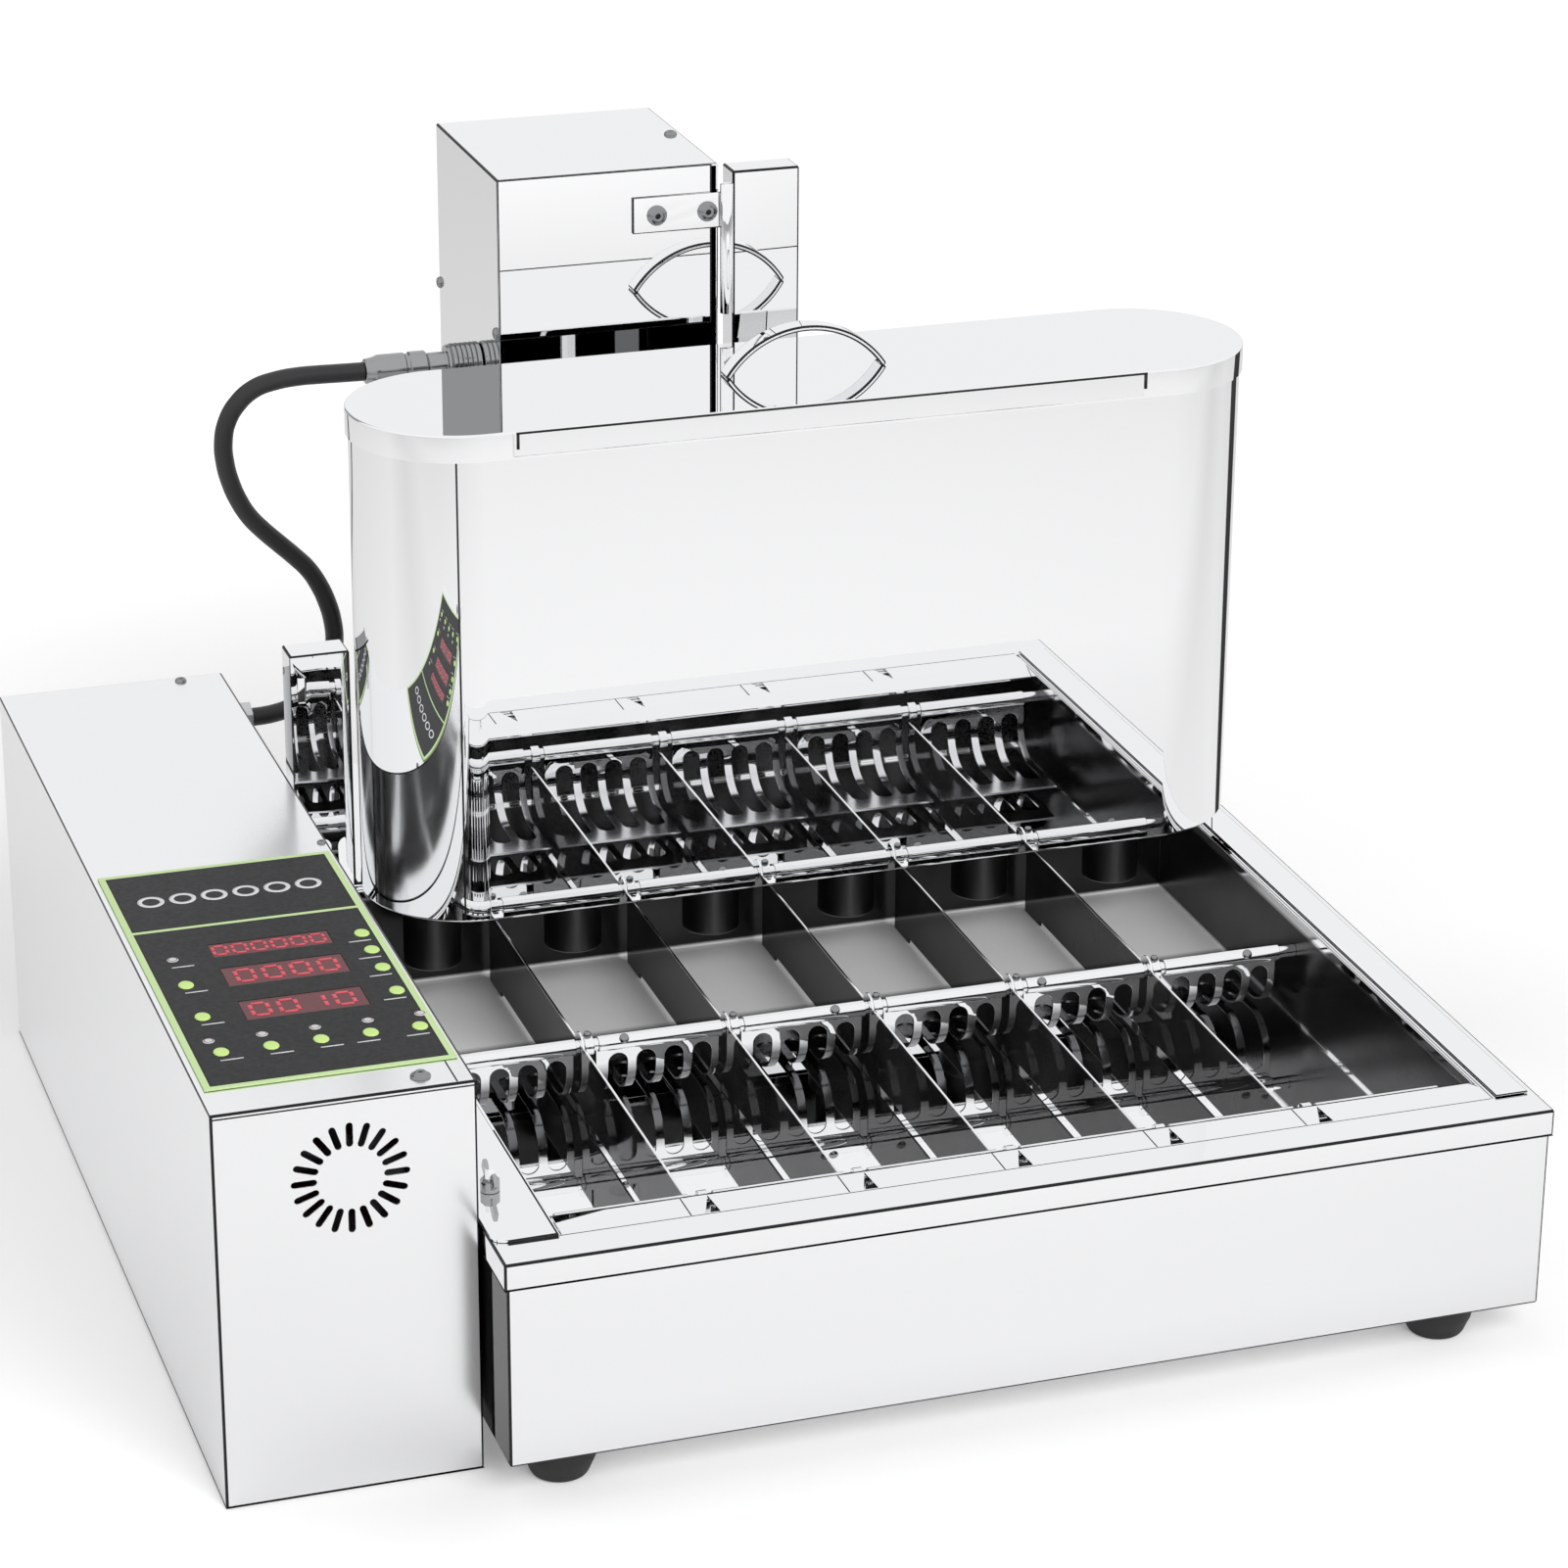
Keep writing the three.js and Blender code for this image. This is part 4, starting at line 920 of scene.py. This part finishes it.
def sleeve():
    bore, outer, chamfer = 4.5, 5.4, 0.3
    work = spun([
        (bore, 0), (outer - chamfer, 0), (outer, chamfer), (outer, SHOVEL_WIDE - chamfer),
        (outer - chamfer, SHOVEL_WIDE), (bore, SHOVEL_WIDE), (bore, 0),
    ], 40)
    bmesh.ops.rotate(work, verts=work.verts, matrix=Matrix.Rotation(math.pi / 2, 3, "Y"))
    return work


whole = bmesh.new()
whole.from_mesh(thick_blank(blank))
whole.from_mesh(mesh_of(sleeve(), "sleeve"))
shovel_mesh = mesh_of(whole, "shovel")
for row, (shaft_y, shaft_z) in SHAFTS.items():
    for lane in range(LANES):
        name = f"{row}_shovel_{lane + 1}"
        mesh = shovel_mesh.copy()
        shovel_left = LANE_LEFT + lane * LANE_PITCH + SHOVEL_INSET
        mesh.transform(Matrix.Translation(at(shovel_left, shaft_y, shaft_z)))
        piece = new_piece(name + "_rolled", mesh, SHOVEL_FINISHES[row], row + "_shovels")
        piece.modifiers.new("Weighted normal", "WEIGHTED_NORMAL")
        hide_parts(name)
print("shovels", 2 * LANES, "faces each", len(shovel_mesh.polygons))

# %% [markdown]
# All plain sheet work keeps its solid's shape and only needs soft edges, so nothing is modelled
# again. One loop makes the large boxes with wide dark folds, and a second one gives the rest a
# narrow round edge: the ledge, the tank, the base, the gland, the shafts and the dividers.

# %% Sheet work
BENT = (
    "control_casing", "fryer_body", "fryer_deck", "cover_left", "cover_right", "post_left",
    "post_right", "tower_casing", "tower_panel", "tie_bracket", "lift_column",
)
PLAIN_RIMS = ("control_casing", "fryer_body", "fryer_deck")
OWN_FINISH = {"control_casing": casing_steel, "fryer_body": fryer_wall_steel}
NARROW_FOLDED = {
    "front_ledge": mirror, "oil_tank": tank_steel, "control_base": satin, "hose_gland": satin,
    "rear_shovel_shaft": shovel_steel, "front_shovel_shaft": shovel_steel,
}
for name in BENT:
    finish = OWN_FINISH.get(name, mirror)
    folded(name, finish, 1.5 * MM, 2, painted_fold_reflection, rims=name not in PLAIN_RIMS)
for name, finish in NARROW_FOLDED.items():
    folded(name, finish)
for divider in range(1, LANES):
    folded(f"lane_divider_{divider}", divider_steel, 0.35 * MM)
print("sheet pieces", len(BENT) + len(NARROW_FOLDED) + LANES - 1)

# %% [markdown]
# The heater lies under the tank, and the fan and its frame stand behind the round vent. They are
# hardly seen and already fine, so they keep their solids and get a finish alone.

# %% Hidden pieces
HIDDEN = {"heating_element": heater_steel, "fan_frame": fan_black, "fan_rotor": fan_black}
for name, finish in HIDDEN.items():
    clothe(name, finish)
print("hidden pieces clothed", len(HIDDEN))

# %% [markdown]
# The feet are moulded rubber bowls with a rounded shoulder, a small step and a flat sole. A
# bevelled cylinder would miss the step, so their outline is spun as the nozzles' is.

# %% Feet
FOOT_OUTLINE = [
    (0, 26.7), (22.2, 26.7), (23, 25.8), (23, 15), (22.3, 11.5), (20.3, 7), (18.6, 2.6),
    (17.4, 0.7), (16, 0), (0, 0),
]
for along, y in (("front", -15), ("back", 705)):
    for across, x in (("left", 202), ("right", 785)):
        name = f"foot_{along}_{across}"
        foot = gathered(name + "_moulded", [moved(spun(FOOT_OUTLINE), (x, y, 0))], foot_rubber)
        soften(foot, 0.4 * MM, 2, 50)
        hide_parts(name)
print("feet made")

# %% [markdown]
# The control film lies on the casing. The keys are low domed caps of pale green with an oval
# outline. An oval dome has no ready shape, so a round one with its foot ring is spun and
# stretched, and each cap replaces the plain oval of its solid and rides on the key's own body.

# %% Film and keys
KEY_WIDE, KEY_DEEP = 9.5, 12
KEY_OUTLINE = [
    (0, 261.75), (2.4, 261.72), (3.7, 261.6), (4.4, 261.4), (KEY_WIDE / 2, 261.1),
    (KEY_WIDE / 2, 260), (KEY_WIDE / 2 + 1.2, 260), (KEY_WIDE / 2 + 1.2, 259), (0, 259),
]
key_places = [(24.5 + i * 30.3, 81) for i in range(5)]
key_places += [(24.3, 133), (24.3, 181), (145, 135), (145, 171), (145, 198.5), (145, 225)]

folded("control_panel", control_film, 0.15 * MM)
for number, (x, y) in enumerate(key_places, 1):
    dome = spun(KEY_OUTLINE, 36)
    bmesh.ops.scale(dome, verts=dome.verts, vec=(1, KEY_DEEP / KEY_WIDE, 1))
    cap = gathered(f"key_cap_{number}", [moved(dome, (x, y, 0))], key_green, f"key_{number}_body")
    soften(cap, 0.1 * MM, 2, 40)
    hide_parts(f"key_{number}")
print("keys", len(key_places))

# %% [markdown]
# The board under the film carries the dark display windows and the lamps. Digits are seven bars
# each. A font would give the wrong shapes, so a bar is a thin slab, and a table says which bars
# are lit for the plain zeros and ones shown here.

# %% Displays
FILM_TOP = 261.1
BAR_SHARE = 0.24
LIT = {"0": "abcdef", "1": "bc"}
DISPLAYS = [
    ("000000", 86, 226, 8.2, 12.5, 12.4),
    ("0000", 88, 185, 10.5, 17, 17.4),
    ("0010", 86, 134, 10.5, 17, 17.4),
]


def bars_of(digit, x, y, wide, tall):
    thick = wide * BAR_SHARE
    level, upright = (wide - thick, thick), (thick, tall / 2 - thick)
    bars = {
        "a": (0, tall / 2, *level), "d": (0, -tall / 2, *level),
        "b": (wide / 2, tall / 4, *upright), "c": (wide / 2, -tall / 4, *upright),
        "e": (-wide / 2, -tall / 4, *upright), "f": (-wide / 2, tall / 4, *upright),
    }
    made = []
    for bar in LIT[digit]:
        dx, dy, bar_wide, bar_tall = bars[bar]
        across = (x + dx - bar_wide / 2, x + dx + bar_wide / 2)
        along = (y + dy - bar_tall / 2, y + dy + bar_tall / 2)
        made.append(slab(across, along, (FILM_TOP - 0.35, FILM_TOP - 0.1)))
    return made


clothe("display_board", window_red)
segments = []
for text, x, y, wide, tall, pitch in DISPLAYS:
    for i, digit in enumerate(text):
        segments += bars_of(digit, x + (i - (len(text) - 1) / 2) * pitch, y, wide, tall)
gathered("display_digits", segments, digit_red)
print("lit bars", len(segments))

# %% [markdown]
# Six small lamps are ground glass lenses over the board. A short plain bar is printed under each
# key, where such a film has its labels, and a row of six rings, one for each lane, stands in the
# upper field. The ink could be a picture on the film, but thin raised shapes stay sharp close
# up.

# %% Lamps and print
LENS_OUTLINE = [(0, 261.75), (1.9, 261.7), (3, 261.5), (3.6, 261.2), (3.6, 260.4), (0, 260.4)]
INK_TOP = FILM_TOP + 0.05
RING_OUTLINE = [(5.6, FILM_TOP), (5.6, INK_TOP), (8.6, INK_TOP), (8.6, FILM_TOP)]
TOP_LAMP = (24, 220)
MARK_HALF, MARK_LOW, MARK_HIGH = 7, 12.4, 11
FIRST_RING, RING_PITCH, RINGS_Y = 29, 20.4, 312

lamp_places = [TOP_LAMP] + [(20.5 + i * 32.4, 98) for i in range(5)]
lenses = [moved(spun(LENS_OUTLINE, 28), (x, y, 0)) for x, y in lamp_places]
gathered("panel_lamps", lenses, lamp_grey)
prints = []
for x, y in key_places + [TOP_LAMP]:
    middle = x - 4 if x > 100 else x + 4
    across = (middle - MARK_HALF, middle + MARK_HALF)
    prints.append(slab(across, (y - MARK_LOW, y - MARK_HIGH), (FILM_TOP, INK_TOP)))
for lane in range(LANES):
    ring_x = FIRST_RING + lane * RING_PITCH
    prints.append(moved(spun(RING_OUTLINE, 40), (ring_x, RINGS_Y, 0)))
gathered("panel_print", prints, print_white)
print("lamps", len(lenses), "printed marks", len(prints))

# %% [markdown]
# Button screws hold the sheets. A painted disc would look flat from the side, so a head is spun
# from its half outline, with a washer under it where there is one, and a black six-sided piece is
# set into its hollow top as painted shade for the socket. Each is turned to stand on its own wall.

# %% Screws
WASHER_THICK, RECESS_DEEP = 1.2, 0.4
UP = Matrix.Identity(3)
FRONT = Matrix.Rotation(math.pi / 2, 3, "X")
LEFT = Matrix.Rotation(-math.pi / 2, 3, "Y")
RIGHT = Matrix.Rotation(math.pi / 2, 3, "Y")
SCREWS = [
    ((128, 696, 260), UP, 4.2, 0), ((155, 377, 260), UP, 3.0, 0), ((129, 15, 260), UP, 4.4, 6.2),
    ((445, 570.7, 608), FRONT, 4.6, 7), ((481, 570.7, 608), FRONT, 4.6, 7),
    ((482, 659, 640), UP, 4.6, 0), ((334, 735, 525), LEFT, 4.2, 0),
    ((334, 583, 531), LEFT, 4.2, 0), ((838, 497.5, 300), RIGHT, 3.4, 0),
    ((838, 497.5, 190), RIGHT, 3.4, 0),
]


def screw_head(place, facing, head, washer):
    base = WASHER_THICK if washer else 0
    outline = [
        (0, base + head * 0.3), (head * 0.42, base + head * 0.3),
        (head * 0.46, base + head * 0.56), (head * 0.75, base + head * 0.47),
        (head * 0.95, base + head * 0.25), (head, base),
    ]
    if washer:
        outline += [(washer - 0.3, base), (washer, base - 0.3), (washer, 0)]
    return moved(spun(outline + [(0, 0)], 32), place, facing)


# A black six-sided piece in the head's hollow: painted shade for the socket recess.
def screw_recess(place, facing, head, washer):
    base = (WASHER_THICK if washer else 0) + head * 0.3
    work = bmesh.new()
    bmesh.ops.create_cone(
        work, cap_ends=True, segments=6, radius1=head * 0.4 * MM, radius2=head * 0.36 * MM,
        depth=RECESS_DEEP * MM,
    )
    bmesh.ops.translate(work, verts=work.verts, vec=(0, 0, (base + 0.15) * MM))
    return moved(work, place, facing)


gathered("screw_heads", [screw_head(*screw) for screw in SCREWS], screw_steel)
gathered("screw_socket_shade", [screw_recess(*screw) for screw in SCREWS], line_black)
print("screws", len(SCREWS))

# %% [markdown]
# Small grub screws pin the collars to the rear shaft, and they turn with it, so they ride on the
# shovels' body and not on the frame. One dark knob stands up at each lane's edge, and four
# larger ones lean forward between the shovels.

# %% Grub screws
EDGE_KNOB = [(0, 3.2), (1.9, 3.2), (2.5, 2.6), (2.5, -1.5), (0, -1.5)]
LEANING_KNOB = [(0, 2.4), (2.2, 2.2), (3.2, 1.2), (3.4, -1.5), (0, -1.5)]
LEANING_AT = (329, 475, 622, 772)
LEAN = Matrix.Rotation(math.radians(50), 3, "X")

shaft_y, shaft_z = SHAFTS["rear"]
lane_edges = [LANE_LEFT + lane * LANE_PITCH for lane in range(1, LANES)]
knobs = [moved(spun(EDGE_KNOB, 20), (x + 5.2, shaft_y, shaft_z + 6.4)) for x in lane_edges]
for x in LEANING_AT:
    knobs.append(moved(spun(LEANING_KNOB, 20), (x, shaft_y - 4, shaft_z + 3.4), LEAN))
gathered("rear_grub_screws", knobs, screw_steel, "rear_shovels")
print("grub screws", len(knobs))

# %% [markdown]
# The wing nut is cast, so its solid is welded and rounded more strongly than sheet. The hose
# fitting is turned: a knurled nut, a neck, and a sleeve that grips the hose. One spun outline
# gives all three, with its ribs added by a loop.

# %% Wing nut and fitting
def fitting():
    outline = [(4, 0), (12.5, 0), (13.6, 0.8)]
    for rib in range(6):
        start = 1.5 + rib * 3.4
        outline += [(14, start), (14, start + 2.2), (12.9, start + 2.7), (12.9, start + 3.1)]
    outline += [
        (13.8, 22.6), (13, 24), (9.2, 24.2), (9, 25), (9, 36), (8.2, 37), (9.6, 38), (11, 39.2),
        (11, 50), (9.8, 51), (9.8, 53), (10.8, 54), (10.8, 72), (9.4, 76), (8.6, 81.4), (7.8, 82),
        (4, 82), (4, 0),
    ]
    return moved(spun(outline, 40), (333.7, 629, 498), LEFT)


folded("wing_nut", nut_steel, 0.9 * MM, 3)
fitting_piece = gathered("hose_fitting_turned", [fitting()], fitting_grey)
soften(fitting_piece, 0.2 * MM, 2, 40)
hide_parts("hose_fitting")
print("nut and fitting made")

# %% [markdown]
# Thin dark strips are laid just on the surface. Some are seams where one sheet meets the next:
# across the top of the control box, down the hopper where its front sheet laps the round end, and
# at the five tabs of the front ledge. A groove cut in a mirror would hardly show, so each seam is
# a strip. The rest are painted: the strip along the control box's front fold is a painted dark
# reflection of the fold, and the strips at the edges of the left cover and along the front edge
# of the ledge are painted shadow under the raised edges.

# %% Seams and painted dark lines
TAB_BEFORE_EDGE = 17
seam_and_painted_strips = [
    # Along the control box's front fold: a painted dark reflection of the fold.
    slab((0.8, 158.2), (-0.05, 0.1), (256.6, 257.6)),
    slab((147.4, 148.4), (2, 31), (260, 260.06)),
    # These two strips at the left cover's edges are painted shadow under the raised cover.
    slab((199.75, 200.5), (-25, 120), (162.5, 165.0)),
    slab((170, 200.5), (-25.9, -25.1), (163.6, 165.0)),
    slab((255.4, 256.6), (395.9, 396.5), (184, 505)),
    # Along the ledge's front edge: painted shadow.
    slab((201, 809), (-25.3, -24.6), (163.55, 163.64)),
]
for lane_edge in lane_edges:
    tab = lane_edge - TAB_BEFORE_EDGE
    seam_and_painted_strips.append(slab((tab - 0.4, tab + 0.4), (-24, -1), (163.6, 163.66)))
gathered("seams_and_painted_lines", seam_and_painted_strips, line_black)
print("seam_and_painted_strips", len(seam_and_painted_strips))

# %% [markdown]
# The studio is a pale floor under a pale surround. Mirror steel shows only what is round it, and
# here that is mostly the floor, so the floor is told apart by the kind of ray. The camera sees
# it white at a distance and a little shaded near the machine. Mirrors see it somewhat dimmer,
# most of all far out in front, and with one dark band at the right that draws the dark strip on
# the hopper's polished end. All of it is the floor's own colour and light, so the shadow stays.

# %% Floor
PALE_FLOOR = (0.86, 0.86, 0.86, 1)
DARK_FLOOR = (0.01, 0.01, 0.01, 1)
FLOOR_SIZE = 8
BAND_X, BAND_Y = 0.35, 0.12
BAND_LOW, BAND_HIGH = 0.364, 0.781


def wedge(finish, along, across, low, high):
    above = finish.span(across - along * low, 0.0, 0.02)
    below = finish.span(along * high - across, 0.0, 0.02)
    return above * below


def floor_finish():
    finish = Finish("floor_white", Roughness=0.9, Base_Color=PALE_FLOOR)
    seen, mirrored = finish.ray("Camera"), finish.ray("Glossy")
    x, y, _ = finish.axes()
    band = wedge(finish, x - BAND_X, y - BAND_Y, BAND_LOW, BAND_HIGH)
    apart = x * x + y * y
    far_off = finish.span(apart.maths("SQRT", apart), 0.5, 1.5, 0.35, 1.0)
    near = finish.span(y, -1.2, -0.45, 0.1, 0.05) + finish.span(y, -0.4, 0.1, 0.0, 0.25)
    distant = finish.span(y, -1.6, -0.8, 0.3, 0.0) * mirrored
    dimmed = (band * mirrored).larger(distant)
    finish.drive("Base Color", finish.mix(dimmed, PALE_FLOOR, DARK_FLOOR))
    dark = finish.node("ShaderNodeEmission", inputs={"Strength": 0.0})
    lift = finish.node("ShaderNodeEmission", inputs={"Color": (1, 1, 1, 1), "Strength": 0.55})
    share = seen * far_off + mirrored * (1 - band) * near
    extra = finish.node("ShaderNodeMixShader", inputs={0: share, 1: dark, 2: lift})
    surface = Wire(finish, finish.shader.outputs[0])
    total = finish.node("ShaderNodeAddShader", inputs={0: surface, 1: extra})
    finish.feed(finish.tree.nodes["Material Output"].inputs["Surface"], total)
    return finish.material


def studio_floor():
    work = bmesh.new()
    bmesh.ops.create_grid(work, x_segments=1, y_segments=1, size=FLOOR_SIZE)
    bmesh.ops.translate(work, verts=work.verts, vec=(0, 0, -0.4 * MM))
    floor = bpy.data.objects.new("studio_floor", mesh_of(work, "studio_floor"))
    bpy.context.scene.collection.objects.link(floor)
    floor.data.materials.append(floor_finish())


studio_floor()
print("floor made")

# %% [markdown]
# The surround is the world's own colour. A room of walls would cost time and cast its own
# shadows. The camera sees plain white, mirrors see a pale grey that darkens a little toward the
# back, with one shaded part at the back left for the box's left side, and diffuse light is kept
# low, so that the lamps shape the machine.

# %% World
class Surround(Finish):
    def __init__(self, world):
        world.use_nodes = True
        self.tree = world.node_tree
        self.shader = self.tree.nodes["Background"]


world = bpy.data.worlds.new("studio")
bpy.context.scene.world = world
surround = Surround(world)
direction = surround.node("ShaderNodeTexCoord", out="Generated")
toward_x, toward_y, _ = surround.split(direction)
mirrored = surround.ray("Glossy").larger(surround.ray("Transmission"))
back = surround.span(toward_y, -0.2, 0.9)
pale = surround.mix(back, (0.97, 0.975, 0.98, 1), (0.91, 0.915, 0.92, 1))
back_left = surround.span(toward_x, -0.2, -0.12, 1.0, 0.0) * surround.span(toward_y, 0.6, 0.7)
shaded = surround.mix(back_left, pale, (0.3, 0.305, 0.31, 1))
unseen = surround.mix(mirrored, (0.42, 0.42, 0.42, 1), shaded)
surround.drive("Color", surround.mix(surround.ray("Camera"), unseen, (1, 1, 1, 1)))
surround.drive("Strength", 1.0)
print("world made")

# %% [markdown]
# Two soft lamps give the shadows their direction: a wide one in front, a little to the right,
# and a weak one above the left side. They are hidden from mirrors, because polished sheets would
# show them as hard white discs.

# %% Lamps
def soft_lamp(name, place, target, size, power):
    light = bpy.data.lights.new(name, "AREA")
    light.shape = "DISK"
    light.size = size
    light.energy = power
    lamp = bpy.data.objects.new(name, light)
    bpy.context.scene.collection.objects.link(lamp)
    lamp.location = place
    lamp.visible_glossy = False
    aim = Vector(target) - Vector(place)
    lamp.rotation_euler = aim.to_track_quat("-Z", "Y").to_euler()


soft_lamp("lamp_above", (-1.3, 0.6, 3.0), (0, 0, 0.2), 1.4, 16)
soft_lamp("lamp_front", (0.5, -3.2, 2.2), (0, 0, 0.1), 2.4, 105)
bpy.context.scene.view_settings.view_transform = "Standard"
print("lamps made")
